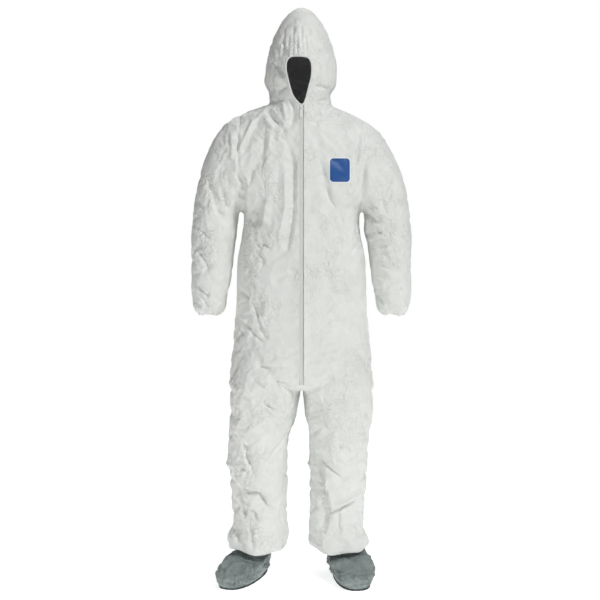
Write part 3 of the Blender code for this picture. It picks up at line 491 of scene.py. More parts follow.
# line, width, height, lean: all in metres, read as a tailor's chalk marks on the front
FRONT_FOLDS = (
    # hood: tucks at the cheeks, and gathers that run up from the face elastic
    (((-0.060, 1.716), (-0.048, 1.652)), 0.010, -0.0030, 0.2),
    (((-0.088, 1.640), (-0.051, 1.588)), 0.014, -0.0060, 0.4),
    (((-0.084, 1.600), (-0.056, 1.575)), 0.010, 0.0030, 0.0),
    (((-0.079, 1.548), (-0.041, 1.567)), 0.012, -0.0045, 0.0),
    (((-0.100, 1.515), (-0.050, 1.527)), 0.013, -0.0050, 0.0),
    (((0.039, 1.567), (0.095, 1.560)), 0.012, -0.0050, 0.0),
    (((0.090, 1.530), (0.050, 1.519)), 0.011, -0.0040, 0.0),
    (((0.045, 1.640), (0.070, 1.590)), 0.012, -0.0030, 0.0),
    # neck and collar
    (((-0.035, 1.539), (-0.023, 1.478), (-0.038, 1.430)), 0.013, -0.0055, 0.3),
    (((-0.058, 1.520), (-0.046, 1.455)), 0.012, 0.0040, 0.0),
    (((-0.112, 1.488), (-0.063, 1.433)), 0.014, -0.0080, 0.4),
    (((-0.120, 1.470), (-0.080, 1.425)), 0.012, 0.0050, 0.0),
    (((0.060, 1.500), (0.045, 1.440)), 0.014, -0.0035, 0.0),
    (((0.100, 1.492), (0.070, 1.455)), 0.012, -0.0035, 0.0),
    # chest, wearer's right
    (((-0.124, 1.481), (-0.152, 1.423), (-0.196, 1.328)), 0.017, -0.0075, 0.4),
    (((-0.140, 1.475), (-0.172, 1.405), (-0.212, 1.335)), 0.014, 0.0050, 0.0),
    (((-0.115, 1.439), (-0.118, 1.347), (-0.153, 1.301), (-0.178, 1.221)), 0.018, -0.0070, -0.3),
    (((-0.098, 1.440), (-0.098, 1.350)), 0.016, 0.0035, 0.0),
    (((-0.201, 1.433), (-0.199, 1.307)), 0.010, -0.0055, 0.2),
    (((-0.218, 1.420), (-0.216, 1.330)), 0.010, 0.0040, 0.0),
    (((-0.208, 1.307), (-0.187, 1.267), (-0.187, 1.150)), 0.016, -0.0100, 0.3),
    (((-0.170, 1.290), (-0.165, 1.235)), 0.013, 0.0050, 0.0),
    (((-0.128, 1.230), (-0.150, 1.122)), 0.020, -0.0070, 0.2),
    (((-0.105, 1.240), (-0.118, 1.120)), 0.020, 0.0045, 0.0),
    (((-0.047, 1.408), (-0.023, 1.325), (-0.023, 1.184), (-0.045, 1.060), (-0.110, 1.013)), 0.022, -0.0085, -0.4),
    (((-0.050, 1.330), (-0.050, 1.190), (-0.075, 1.080)), 0.022, 0.0055, 0.0),
    (((-0.150, 1.085), (-0.128, 1.066), (-0.118, 1.078), (-0.091, 1.055)), 0.010, -0.0040, 0.3),
    (((-0.150, 1.060), (-0.120, 1.030), (-0.128, 1.000)), 0.010, -0.0040, 0.3),
    # chest, wearer's left, and the armhole
    (((0.070, 1.258), (0.126, 1.156), (0.160, 1.090)), 0.018, -0.0050, 0.4),
    (((0.051, 1.368), (0.085, 1.230), (0.135, 1.029)), 0.022, -0.0045, -0.3),
    (((0.211, 1.387), (0.193, 1.298), (0.186, 1.160)), 0.014, -0.0060, 0.2),
    (((0.160, 1.330), (0.188, 1.230)), 0.014, -0.0035, 0.0),
    (((0.190, 1.400), (0.176, 1.320)), 0.012, 0.0030, 0.0),
    # waist
    (((-0.160, 0.911), (-0.138, 0.848), (-0.107, 0.770)), 0.014, -0.0060, 0.4),
    (((-0.144, 0.879), (-0.110, 0.795)), 0.010, 0.0040, 0.0),
    (((-0.188, 0.842), (-0.151, 0.795), (-0.107, 0.757)), 0.014, -0.0060, 0.4),
    (((-0.200, 0.935), (-0.160, 0.905)), 0.014, -0.0040, 0.0),
    (((-0.161, 0.660), (-0.108, 0.622)), 0.011, -0.0040, 0.2),
    (((-0.150, 0.700), (-0.111, 0.694), (-0.017, 0.688)), 0.011, -0.0035, 0.2),
    (((-0.120, 0.735), (-0.060, 0.722), (-0.020, 0.730)), 0.010, -0.0028, 0.2),
    (((-0.090, 0.655), (-0.040, 0.640)), 0.010, -0.0030, 0.0),
    (((0.020, 0.700), (0.100, 0.690)), 0.012, -0.0028, 0.0),
    (((0.030, 0.735), (0.120, 0.748)), 0.012, -0.0025, 0.0),
    (((0.040, 0.660), (0.150, 0.640)), 0.012, -0.0030, 0.0),
    (((0.080, 0.860), (0.150, 0.845)), 0.014, -0.0025, 0.0),
    (((0.060, 0.940), (0.140, 0.965)), 0.014, -0.0025, 0.0),
    (((0.120, 1.000), (0.175, 0.960)), 0.014, -0.0030, 0.0),
    (((-0.090, 0.960), (-0.040, 0.985)), 0.013, -0.0028, 0.0),
    # sleeves
    (((-0.339, 1.069), (-0.296, 1.007), (-0.315, 0.979)), 0.013, -0.0060, 0.3),
    (((-0.340, 0.951), (-0.291, 0.904)), 0.012, -0.0055, 0.3),
    (((-0.335, 0.930), (-0.300, 0.885), (-0.290, 0.865)), 0.010, -0.0045, 0.2),
    (((-0.340, 1.140), (-0.290, 1.090), (-0.250, 1.085)), 0.018, -0.0040, 0.2),
    (((-0.300, 1.290), (-0.265, 1.190), (-0.235, 1.130)), 0.022, -0.0045, 0.2),
    (((-0.255, 1.260), (-0.225, 1.175)), 0.014, -0.0045, 0.0),
    (((0.181, 1.178), (0.259, 1.134)), 0.013, -0.0060, 0.3),
    (((0.215, 1.190), (0.270, 1.160)), 0.010, 0.0035, 0.0),
    (((0.200, 1.098), (0.262, 1.118)), 0.013, -0.0055, 0.2),
    (((0.215, 1.060), (0.290, 1.075), (0.330, 1.050)), 0.014, -0.0040, 0.2),
    (((0.240, 1.010), (0.310, 0.990)), 0.014, -0.0040, 0.2),
    (((0.235, 0.920), (0.262, 0.880)), 0.011, -0.0060, 0.3),
    (((0.330, 0.940), (0.290, 0.905)), 0.012, -0.0035, 0.0),
    (((0.300, 1.300), (0.260, 1.200)), 0.018, -0.0030, 0.0),
    # legs, wearer's right
    (((-0.190, 0.470), (-0.170, 0.400), (-0.147, 0.330)), 0.019, -0.0090, 0.4),
    (((-0.165, 0.440), (-0.150, 0.385)), 0.014, 0.0050, 0.0),
    (((-0.026, 0.485), (-0.128, 0.364)), 0.015, -0.0060, 0.3),
    (((-0.040, 0.445), (-0.128, 0.338)), 0.012, -0.0045, 0.3),
    (((-0.050, 0.480), (-0.110, 0.415)), 0.011, 0.0035, 0.0),
    (((-0.213, 0.329), (-0.196, 0.260), (-0.176, 0.184)), 0.020, -0.0080, 0.4),
    (((-0.185, 0.293), (-0.131, 0.284), (-0.104, 0.240), (-0.070, 0.222)), 0.016, -0.0095, 0.4),
    (((-0.180, 0.308), (-0.125, 0.300), (-0.090, 0.255)), 0.012, 0.0060, 0.0),
    (((-0.170, 0.232), (-0.153, 0.226), (-0.141, 0.193)), 0.009, -0.0055, 0.2),
    (((-0.166, 0.184), (-0.154, 0.105)), 0.012, -0.0060, 0.3),
    (((-0.211, 0.181), (-0.201, 0.110)), 0.011, -0.0060, 0.3),
    (((-0.130, 0.200), (-0.060, 0.190)), 0.016, -0.0040, 0.0),
    # legs, wearer's left
    (((0.040, 0.470), (0.060, 0.350), (0.084, 0.229), (0.053, 0.142)), 0.024, -0.0110, -0.4),
    (((0.037, 0.425), (0.065, 0.383), (0.147, 0.322)), 0.014, -0.0065, 0.4),
    (((0.080, 0.345), (0.074, 0.280)), 0.016, 0.0060, 0.0),
    (((0.205, 0.270), (0.129, 0.235), (0.084, 0.216), (0.043, 0.151)), 0.016, -0.0095, 0.5),
    (((0.200, 0.290), (0.140, 0.258), (0.100, 0.245)), 0.013, 0.0055, 0.0),
    (((0.119, 0.229), (0.119, 0.151)), 0.014, -0.0060, 0.3),
    (((0.098, 0.200), (0.075, 0.140)), 0.012, 0.0050, 0.0),
    (((0.110, 0.440), (0.165, 0.420)), 0.016, -0.0035, 0.0),
    (((0.095, 0.400), (0.150, 0.375)), 0.014, -0.0035, 0.0),
    (((0.170, 0.420), (0.190, 0.340)), 0.016, -0.0040, 0.0),
    (((0.150, 0.190), (0.195, 0.130)), 0.014, -0.0045, 0.0),
)
FOLD_DEPTH = 1.45
for line, width, height, lean in FRONT_FOLDS:
    fold(line, width, height * FOLD_DEPTH, lean)
for gather, x in enumerate((-0.058, -0.042, -0.026, -0.011, 0.004, 0.019, 0.034)):
    fold(((x * 0.8 - 0.004, 1.760 - 0.03 * (gather % 2)), (x - 0.002, 1.658)), 0.0075, -0.0034, 0.0, ends=(0.0, 1.0))

# %% Folds on the sides and the back, which hang in long soft lines with cross tucks at the joints
dice = np.random.default_rng(11)


def scattered(count, view, x_range, h_range, length, slope, width, height, beyond=None):
    """Presses count folds at random places. slope is the range of (sideways per metre of drop)."""
    for _ in range(count):
        x, h = dice.uniform(*x_range), dice.uniform(*h_range)
        run, turn = dice.uniform(*length), dice.uniform(*slope)
        step = Vector((turn, -1)).normalized() * run / 2
        bow = dice.uniform(-0.12, 0.12) * run
        line = ((x - step.x, h - step.y), (x + bow, h), (x + step.x, h + step.y))
        size = dice.uniform(0.6, 1.0)
        fold(line, width * dice.uniform(0.7, 1.2), height * size, dice.uniform(-0.4, 0.4), view, beyond=beyond)


for sign in (-1, 1):
    scattered(34, "front", sorted((sign * 0.235, sign * 0.335)), (0.88, 1.20), (0.03, 0.07), (-3.0, 3.0), 0.009, -0.0026)
    scattered(20, "front", sorted((sign * 0.200, sign * 0.300)), (1.18, 1.40), (0.04, 0.09), (-1.5, 1.5), 0.010, -0.0026)
    scattered(46, "front", sorted((sign * 0.040, sign * 0.215)), (0.12, 0.58), (0.03, 0.09), (-2.5, 2.5), 0.010, -0.0028)
scattered(50, "front", (-0.20, 0.20), (0.64, 1.02), (0.03, 0.09), (-6.0, 6.0), 0.009, -0.0024)
scattered(30, "front", (-0.19, -0.02), (1.02, 1.44), (0.04, 0.10), (-0.9, 0.9), 0.009, -0.0024)
scattered(16, "front", (0.03, 0.18), (1.02, 1.44), (0.04, 0.10), (-0.9, 0.9), 0.009, -0.0020)
scattered(22, "front", (-0.10, 0.10), (1.52, 1.76), (0.02, 0.05), (-1.5, 1.5), 0.008, -0.0022)
scattered(16, "back", (-0.17, 0.17), (1.18, 1.42), (0.12, 0.26), (-0.5, 0.5), 0.022, -0.0060)
scattered(22, "back", (-0.18, 0.18), (0.68, 1.00), (0.06, 0.16), (-3.0, 3.0), 0.016, -0.0050)
scattered(18, "back", (-0.20, 0.20), (0.20, 0.62), (0.08, 0.20), (-1.6, 1.6), 0.018, -0.0065)
scattered(16, "back", (-0.34, -0.22), (0.90, 1.30), (0.05, 0.10), (-3.0, 3.0), 0.013, -0.0050)
scattered(16, "back", (0.22, 0.34), (0.90, 1.30), (0.05, 0.10), (-3.0, 3.0), 0.013, -0.0050)
scattered(14, "back", (-0.07, 0.07), (1.52, 1.72), (0.04, 0.10), (-2.0, 2.0), 0.012, -0.0040)
for view, sign in (("left", 1), ("right", -1)):
    scattered(14, view, (-0.05, 0.06), (0.88, 1.36), (0.05, 0.12), (-2.5, 2.5), 0.014, -0.0050, beyond=0.27)
    scattered(14, view, (-0.10, 0.11), (0.52, 0.98), (0.08, 0.20), (-1.5, 1.5), 0.018, -0.0045)
    scattered(14, view, (-0.07, 0.08), (0.14, 0.50), (0.05, 0.14), (-2.0, 2.0), 0.015, -0.0055)
    scattered(8, view, (-0.08, 0.10), (1.53, 1.74), (0.04, 0.09), (-2.0, 2.0), 0.012, -0.0040)
for h in np.arange(0.0, 0.30, 0.0135):
    fold(((h - 0.15, 1.075), (h - 0.15 + dice.uniform(-0.006, 0.006), 0.990)), 0.0065, -0.0034, view="back")
fold(((0.02, 0.338), (0.06, 0.330)), 0.012, -0.0055, view="right", ends=(1, 1))
fold(((-0.06, 0.365), (0.06, 0.360)), 0.016, 0.0050, view="right", ends=(1, 1))
fold(((-0.05, 0.330), (0.06, 0.326)), 0.012, -0.0060, view="left", ends=(1, 1))

# %% [markdown]
# ## Fine crinkle, and letting the edges be
# Between the big folds the sheet keeps small sharp crinkles from being folded flat in its bag.
# Ridged noise gives them. They fade out under the badge and at the sewn edges.

# %% Crinkle and move the points
SMALL = ((20.0, 0.0012), (50.0, 0.0008))
PRESS_LIMIT = 0.018


def fade(distance, over):
    """0 at the edge, 1 from over on."""
    share = np.clip(distance / over, 0, 1)
    return share * share * (3 - 2 * share)


busy = np.array([noise.noise(Vector(p) * 5.5 + Vector((3, 1, 7))) for p in points])
busy = 0.30 + 0.95 * fade(busy + 0.25, 0.6)
for scale, size in SMALL:
    ridge = np.array([abs(noise.noise(Vector((p[0], p[1], p[2] * 0.8)) * scale)) for p in points])
    shift += size * (0.25 - ridge) * 2.2 * busy
armhole = np.abs(np.abs(points[:, 0]) - 0.195)
armhole[heights < 1.16] = 1.0
shift -= 0.0022 * np.clip(1 - armhole / 0.0055, 0, 1)
collar = np.abs(heights - (1.497 + 0.30 * (points[:, 1] - 0.02)))
collar[np.abs(points[:, 0]) > 0.16] = 1.0
shift -= 0.0020 * np.clip(1 - collar / 0.0055, 0, 1)
loose = fade(np.abs(points[:, 0]) - 0.0066, 0.014)
loose[(points[:, 1] > -0.05) | (heights < 0.63) | (heights > 1.53)] = 1.0
edge_points = np.array([vert.co for vert in skin_bm.verts if vert.is_boundary and vert.co.y < 0 and vert.co.z - FLOOR > 1.50])
rim = np.flatnonzero((heights > 1.48) & (points[:, 1] < -0.04))
gap = np.linalg.norm(points[rim][:, None] - edge_points[None], axis=2).min(1)
loose[rim] = np.minimum(loose[rim], 0.25 + 0.75 * fade(gap, 0.010))
under_badge = np.maximum(np.abs(points[:, 0] - 0.119) / 0.040, np.abs(heights - 1.307) / 0.046)
loose[points[:, 1] < 0] *= (0.25 + 0.75 * fade(under_badge - 0.9, 0.5))[points[:, 1] < 0]
shift = np.clip(shift, -PRESS_LIMIT, PRESS_LIMIT * 0.6) * loose
between = (heights > 0.84) & (heights < 1.15) & (np.abs(points[:, 0]) > 0.178) & (np.abs(points[:, 0]) < 0.245)
shift[between] = np.clip(shift[between], -0.006, 0.001)
points += normals * shift[:, None]

# the zip's cover edge stands up on the wearer's left, and so shades the zip beside it
flap = np.clip(1 - (points[:, 0] - 0.0066) / 0.020, 0, 1) * (points[:, 0] > 0.0060) * (points[:, 1] < -0.05)
flap *= fade(heights - 0.640, 0.05) * (0.35 + 0.65 * fade(1.25 - heights, 0.20)) * fade(1.50 - heights, 0.06)
points[:, 1] -= 0.0026 * flap
# the suit hangs a little lower on its left shoulder, and the hood leans to its right
lean = fade(heights - 1.20, 0.22) * fade(1.62 - heights, 0.14)
points[:, 2] -= 0.040 * points[:, 0] * lean
cheek = np.exp(-((heights - 1.540) / 0.026) ** 2) * fade(points[:, 0] - 0.045, 0.05)
points[:, 0] -= 0.0100 * cheek
cheek = np.exp(-((heights - 1.590) / 0.022) ** 2) * fade(-points[:, 0] - 0.06, 0.05)
points[:, 0] -= 0.0050 * cheek
knee = np.exp(-((heights - 0.365) / 0.026) ** 2) * fade(-points[:, 0] - 0.18, 0.04)
notch = np.exp(-((heights - 0.322) / 0.012) ** 2) * fade(-points[:, 0] - 0.19, 0.03)
points[:, 0] -= 0.0030 * knee - 0.0030 * notch
elbow = np.exp(-((heights - 1.120) / 0.030) ** 2) * fade(points[:, 0] - 0.19, 0.02) * fade(0.27 - points[:, 0], 0.03)
points[:, 0] -= 0.0060 * elbow
ankle = np.exp(-((heights - 0.130) / 0.022) ** 2) * fade(-points[:, 0] - 0.17, 0.04)
points[:, 0] -= 0.0060 * ankle

# gathered cuffs: pleats round the wrist, and a slightly wavy hem round each ankle
for sign in (-1, 1):
    cuff = np.flatnonzero((points[:, 0] * sign > 0.225) & (heights < 0.900))
    turn = np.arctan2(points[cuff, 1], points[cuff, 0] * sign - 0.2945)
    wave = np.cos(17 * turn + 1.3 * np.cos(3 * turn)) + 0.6 * np.cos(29 * turn)
    pull = 1 - fade(heights[cuff] - CUFF_HEIGHT, 0.045)
    inward = np.stack([-np.cos(turn) * sign, -np.sin(turn)], 1)
    points[cuff, :2] += inward * (0.0019 * wave * pull)[:, None]
    points[cuff, 2] += 0.0025 * np.cos(5 * turn + 2) * pull
    hem = np.flatnonzero((points[:, 0] * sign > 0) & (heights < 0.190))
    turn = np.arctan2(points[hem, 1], points[hem, 0] * sign - (0.140 if sign > 0 else 0.150))
    pull = 1 - fade(heights[hem] - HEM_HEIGHT, 0.085)
    points[hem, 2] += (0.0060 * np.cos(2 * turn + 0.4) + 0.0035 * np.cos(5 * turn + sign) + 0.0015) * pull
    out = np.stack([np.cos(turn) * sign, np.sin(turn)], 1)
    points[hem, :2] += out * (0.0032 * np.cos(7 * turn + 2 * sign) * pull)[:, None]
for vert, point in zip(skin_bm.verts, points):
    vert.co = point
bmesh.ops.smooth_vert(skin_bm, verts=[v for v in skin_bm.verts if not v.is_boundary], factor=0.20,
                      use_axis_x=True, use_axis_y=True, use_axis_z=True)
print("pressed", len(FRONT_FOLDS), "named folds; the deepest point moved", round(1000 * float(np.abs(shift).max()), 1), "mm")

# %% [markdown]
# ## Turned hems
# Cut cloth has no thickness here, so each open edge is turned inward, as it is sewn on the suit.

# %% Turn the edges in
TURN_IN, TURN_UP = 0.0030, 0.0120


def turned(bm, wanted, move):
    """Extrudes the open edges that wanted(middle) accepts, and moves each new point by move(point)."""
    edges = [e for e in bm.edges if e.is_boundary and wanted((e.verts[0].co + e.verts[1].co) / 2)]
    grown = bmesh.ops.extrude_edge_only(bm, edges=edges)
    fresh = [part for part in grown["geom"] if isinstance(part, bmesh.types.BMVert)]
    for vert in fresh:
        vert.co += move(vert.co)
    return fresh


def towards(centre_x, centre_y, rise):
    def move(point):
        inward = Vector((centre_x - point.x, centre_y - point.y, 0)).normalized() * TURN_IN
        return inward + Vector((0, 0, rise))
    return move


rings = {}
for side, sign in SIDES.items():
    wrist = towards(sign * 0.2945, 0, TURN_UP)
    turned(skin_bm, lambda p: p.x * sign > 0.225 and 0.80 < p.z - FLOOR < 0.90, wrist)
    ankle_x = sign * ANKLE[side][0]
    turned(skin_bm, lambda p: p.x * sign > 0 and p.z - FLOOR < 0.15, towards(ankle_x, 0.005, TURN_UP))
turned(skin_bm, lambda p: p.z - FLOOR > 1.515 and p.y < 0, lambda p: Vector((0, 0.007, 0)))
turned(skin_bm, lambda p: 0.63 < p.z - FLOOR < 1.515 and p.y < 0 and abs(p.x) < 0.02,
       lambda p: Vector((0.0006 * math.copysign(1, p.x), 0.0075, 0)))

# %% [markdown]
# ## Pieces cut at the joints
# The skin is cut where sewn panels meet or a joint bends. Every piece keeps the normals that the
# whole skin had, so a cut that isn't a seam on the real suit doesn't show.

# %% Cut the skin into pieces
WAIST_CUT, THIGH_CUT, ELBOW_CUT, HOOD_CUT, ARMHOLE = 0.800, 0.500, 1.135, 1.500, 0.195

for sign in (-1, 1):
    cut_plane(skin_bm, lambda p, h: abs(p.x - sign * ARMHOLE) < 0.012 and 1.08 < h, (sign * ARMHOLE, 0, 0), (1, 0, 0))
    cut_plane(skin_bm, lambda p, h: p.x * sign > ARMHOLE and abs(h - ELBOW_CUT) < 0.012, at(0, 0, ELBOW_CUT), (0, 0, 1))
for height in (WAIST_CUT, THIGH_CUT):
    cut_plane(skin_bm, lambda p, h: abs(h - height) < 0.012 and abs(p.x) < 0.24, at(0, 0, height), (0, 0, 1))
cut_plane(skin_bm, lambda p, h: abs(h - HOOD_CUT) < 0.012, at(0, 0, HOOD_CUT), (0, 0, 1))
cut_plane(skin_bm, lambda p, h: abs(p.x) < 0.012 and h < WAIST_CUT, (0, 0, 0), (1, 0, 0))


def piece_name(x, h):
    side = "left" if x > 0 else "right"
    if h > HOOD_CUT and abs(x) < 0.16:
        return "hood"
    gap_middle = float(np.interp(h, (0.84, 0.90, 0.965, 1.04, 1.08), (0.224, 0.2225, 0.2140, 0.2085, ARMHOLE)))
    if abs(x) > gap_middle and h > WAIST_CUT:
        return ("sleeve_upper_" if h > ELBOW_CUT else "sleeve_lower_") + side
    if h > WAIST_CUT:
        return "coverall_body"
    return ("seat_" if h > THIGH_CUT else "leg_") + side


skin_bm.normal_update()
skin_tree = BVHTree.FromBMesh(skin_bm)
groups = {}
for face in skin_bm.faces:
    middle = face.calc_center_median()
    groups.setdefault(piece_name(middle.x, middle.z - FLOOR), []).append(face)
pieces = {}
for name, faces in sorted(groups.items()):
    order = {}
    for face in faces:
        for vert in face.verts:
            order.setdefault(vert, len(order))
    mesh = bpy.data.meshes.new(name)
    mesh.from_pydata([v.co for v in order], [], [[order[v] for v in face.verts] for face in faces])
    mesh.polygons.foreach_set("use_smooth", [True] * len(mesh.polygons))
    mesh.normals_split_custom_set_from_vertices([v.normal for v in order])
    pieces[name] = new_object(name, mesh)
    print(name, len(faces), "faces,", round(sum(p.area for p in mesh.polygons), 3), "m2")

# %% [markdown]
# ## Materials
# Each finish is named for the real material. The textures are set in millimetres on Object
# coordinates, so that they are the same size on every piece.

# %% Node helper and materials
def linear(hex_colour):
    """A linear RGBA colour from an sRGB hex string."""
    parts = [int(hex_colour[i:i + 2], 16) / 255 for i in (1, 3, 5)]
    return (*(c / 12.92 if c <= 0.04045 else ((c + 0.055) / 1.055) ** 2.4 for c in parts), 1.0)


def add(tree, kind, sockets=None, **settings):
    """Adds a node, sets its settings, and links or fills its inputs."""
    node = tree.nodes.new(kind)
    for key, value in settings.items():
        setattr(node, key, value)
    for key, value in (sockets or {}).items():
        if isinstance(value, bpy.types.NodeSocket):
            tree.links.new(value, node.inputs[key])
        else:
            node.inputs[key].default_value = value
    return node


def per_mm(size):
    """The texture scale at which a pattern repeats about every size millimetres."""
    return 1000 / size


def finish_of(name, colour, second, patch_mm, grain_mm, grain_depth_mm, roughness, crease_mm=0, crease_depth_mm=0):
    """A matt finish: two close colours in soft patches, and a grain that is pressed into it. Where
    crease_mm is set, a net of sharp small creases about that far apart lies over the grain."""
    material = bpy.data.materials.new(name)
    material.use_nodes = True
    tree = material.node_tree
    shader = tree.nodes["Principled BSDF"]
    place = add(tree, "ShaderNodeTexCoord").outputs["Object"]
    patches = add(tree, "ShaderNodeTexNoise", {"Vector": place, "Scale": per_mm(patch_mm), "Detail": 4.0})
    grain = add(tree, "ShaderNodeTexNoise", {
        "Vector": place, "Scale": per_mm(grain_mm), "Detail": 5.0, "Roughness": 0.65, "Distortion": 1.4})
    mixed = add(tree, "ShaderNodeMix", {"Factor": patches.outputs["Fac"], "A": linear(colour), "B": linear(second)},
                data_type="RGBA")
    mixed_out = mixed.outputs[2]
    for key, value in (("A", linear(colour)), ("B", linear(second))):
        mixed.inputs[6 if key == "A" else 7].default_value = value
    spread = add(tree, "ShaderNodeMapRange", {
        "Value": grain.outputs["Fac"], "To Min": roughness - 0.06, "To Max": roughness + 0.06})
    bump = add(tree, "ShaderNodeBump", {"Height": grain.outputs["Fac"], "Distance": grain_depth_mm / 1000,
                                        "Strength": 0.6})
    tree.links.new(mixed_out, shader.inputs["Base Color"])
    tree.links.new(spread.outputs[0], shader.inputs["Roughness"])
    if crease_mm:
        wander = add(tree, "ShaderNodeTexNoise", {"Vector": place, "Scale": per_mm(crease_mm * 2.2), "Detail": 3.0})
        moved = add(tree, "ShaderNodeVectorMath", {0: wander.outputs["Color"], 1: (crease_mm / 450,) * 3},
                    operation="MULTIPLY")
        warped = add(tree, "ShaderNodeVectorMath", {0: place, 1: moved.outputs[0]}, operation="ADD")
        net = add(tree, "ShaderNodeTexVoronoi", {"Vector": warped.outputs[0], "Scale": per_mm(crease_mm)},
                  feature="DISTANCE_TO_EDGE")
        net_height = add(tree, "ShaderNodeMapRange", {"Value": net.outputs["Distance"], "From Max": 0.30})
        where = add(tree, "ShaderNodeTexNoise", {"Vector": place, "Scale": per_mm(crease_mm * 7), "Detail": 2.0})
        some = add(tree, "ShaderNodeMapRange", {"Value": where.outputs["Fac"], "From Min": 0.42, "From Max": 0.60})
        raised = add(tree, "ShaderNodeMath", {0: net_height.outputs[0], 1: some.outputs[0]}, operation="MULTIPLY")
        bump = add(tree, "ShaderNodeBump", {"Height": raised.outputs[0], "Distance": crease_depth_mm / 1000,
                                            "Strength": 1.0, "Normal": bump.outputs[0]})
    tree.links.new(bump.outputs[0], shader.inputs["Normal"])
    return material


# the bright white sheet: faintly mottled, with a fine swirl of fibres that keeps it from shining
SHEET = finish_of("flash-spun polyethylene", "#E9EBE8", "#DCDEDA", 30, 1.8, 0.20, 0.58, 15, 1.9)
# the same sheet inside the deep hood, where almost no light comes back; its two colours are a touch darker than the
# outside sheet's, which is painted shade
LINING = finish_of("flash-spun polyethylene with painted shade", "#E2E2E4", "#D4D4D6", 30, 1.6, 0.10, 0.85)
# the grey slip-resistant boot cloth, darker and duller than the suit
BOOT_CLOTH = finish_of("creped polyethylene", "#95A09E", "#768180", 22, 2.4, 0.35, 0.50, 17, 4.0)
# the boot's sole: dark, dull and slightly grainy
SOLE = finish_of("slip-resistant rubber", "#4A5150", "#3F4544", 12, 1.2, 0.20, 0.80)
# covered elastic at the edges
ELASTIC = finish_of("knitted polyester elastic", "#E6E7E4", "#D6D8D4", 3, 0.7, 0.20, 0.75)
# the zip's tape is a touch greyer than the sheet, which is how it reads as a band
TAPE = finish_of("woven polyester tape", "#E6E7E4", "#DEE0DC", 5, 0.6, 0.12, 0.80)
# coil, slider and stops: white plastic with a soft shine
PLASTIC = finish_of("polyacetal plastic", "#EBECEA", "#E4E6E3", 10, 2.0, 0.01, 0.38)
# the badge's printed film, blue in a white border
BLUE_FILM = finish_of("blue printed vinyl film", "#20569A", "#1C4F90", 20, 3.0, 0.01, 0.50)
WHITE_FILM = finish_of("white vinyl film", "#F4F5F4", "#EFF0EF", 20, 3.0, 0.02, 0.45)
# the size label in the neck
LABEL = finish_of("woven polyester label cloth", "#EDEDE8", "#E2E2DC", 4, 0.5, 0.08, 0.70)

# %% [markdown]
# ## The hood's inside, and the sewn edges
# Through the face opening only the dark inside of the hood is seen. A gathered band goes round the
# opening, and flat ribbed bands sit inside the cuffs, the hems and the boot tops.

# %% Hood lining and elastic edges
LINING_GAP = 0.0016


def ribbon(name, path, width, turn, thick, material, ribs=0.0):
    """A closed band along path, a closed list of (point, outward, along the width) places."""
    bm = bmesh.new()
    rows = []
    for number, (point, outward, across) in enumerate(path):
        swell = thick / 2 * (1 + ribs * math.cos(math.pi * number))
        corners = []
        for a, b in ((-1, -0.6), (-0.6, -1), (0.6, -1), (1, -0.6), (1, 0.6), (0.6, 1), (-0.6, 1), (-1, 0.6)):
            corners.append(bm.verts.new(point + across * (width / 2 * a) + outward * (swell * b)))
        rows.append(corners)
    for row, following in zip(rows, rows[1:] + rows[:1]):
        for i in range(8):
            bm.faces.new((row[i], row[(i + 1) % 8], following[(i + 1) % 8], following[i]))
    bmesh.ops.recalc_face_normals(bm, faces=bm.faces)
    for face in bm.faces:
        face.smooth = True
    return new_object(name, bm, material)


hood_mesh = pieces["hood"].data
lining_bm = bmesh.new()
lining_bm.from_mesh(hood_mesh)
lining_bm.normal_update()
for vert in lining_bm.verts:
    vert.co -= vert.normal * LINING_GAP
turned_in = [v for v in lining_bm.verts if v.co.y < -0.03 and in_face(v.co.x, v.co.z - FLOOR)]
bmesh.ops.delete(lining_bm, geom=turned_in, context="VERTS")
bmesh.ops.reverse_faces(lining_bm, faces=lining_bm.faces)
pieces["hood_lining"] = new_object("hood_lining", lining_bm)

face_ring = []
outline = [Vector(p) for p in FACE_EDGE]
steps = 12
for i in range(len(outline)):
    p0, p1, p2, p3 = (outline[(i + k) % len(outline)] for k in (-1, 0, 1, 2))
    for step in range(steps):
        t = step / steps
        spot = 0.5 * ((2 * p1) + (p2 - p0) * t + (2 * p0 - 5 * p1 + 4 * p2 - p3) * t * t
                      + (3 * p1 - p0 - 3 * p2 + p3) * t**3)
        face_ring.append(spot)
middle = sum(face_ring, Vector((0, 0))) / len(face_ring)
ring_path = []
for i, spot in enumerate(face_ring):
    ahead = face_ring[(i + 1) % len(face_ring)] - face_ring[i - 1]
    outward = Vector((ahead.y, 0, -ahead.x)).normalized()
    seen = at(spot.x, 0, spot.y)
    hit = skin_tree.find_nearest(Vector((spot.x, -0.13, seen.z)))[0]
    ring_path.append((Vector((spot.x, hit.y + 0.0012, seen.z)) + outward * 0.0004, outward, Vector((0, 1, 0))))
face_band = ribbon("face_band", ring_path, 0.0080, 0, 0.0050, ELASTIC, ribs=0.16)
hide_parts("face_elastic")


def loop_band(name, centre, low, rise, radius, depth, material):
    """A ribbed band inside a cuff or a hem, fitted to the skin by looking outward from its middle."""
    path = []
    count = 120
    for i in range(count):
        turn = 2 * math.pi * i / count
        outward = Vector((math.cos(turn), math.sin(turn), 0))
        start = centre + Vector((0, 0, low + rise / 2))
        hit = skin_tree.ray_cast(start, outward, 0.2)[0]
        spot = (hit - outward * depth) if hit else start + outward * radius
        path.append((spot, outward, Vector((0, 0, 1))))
    return ribbon(name, path, rise, 0, 0.0016, material, ribs=0.25)


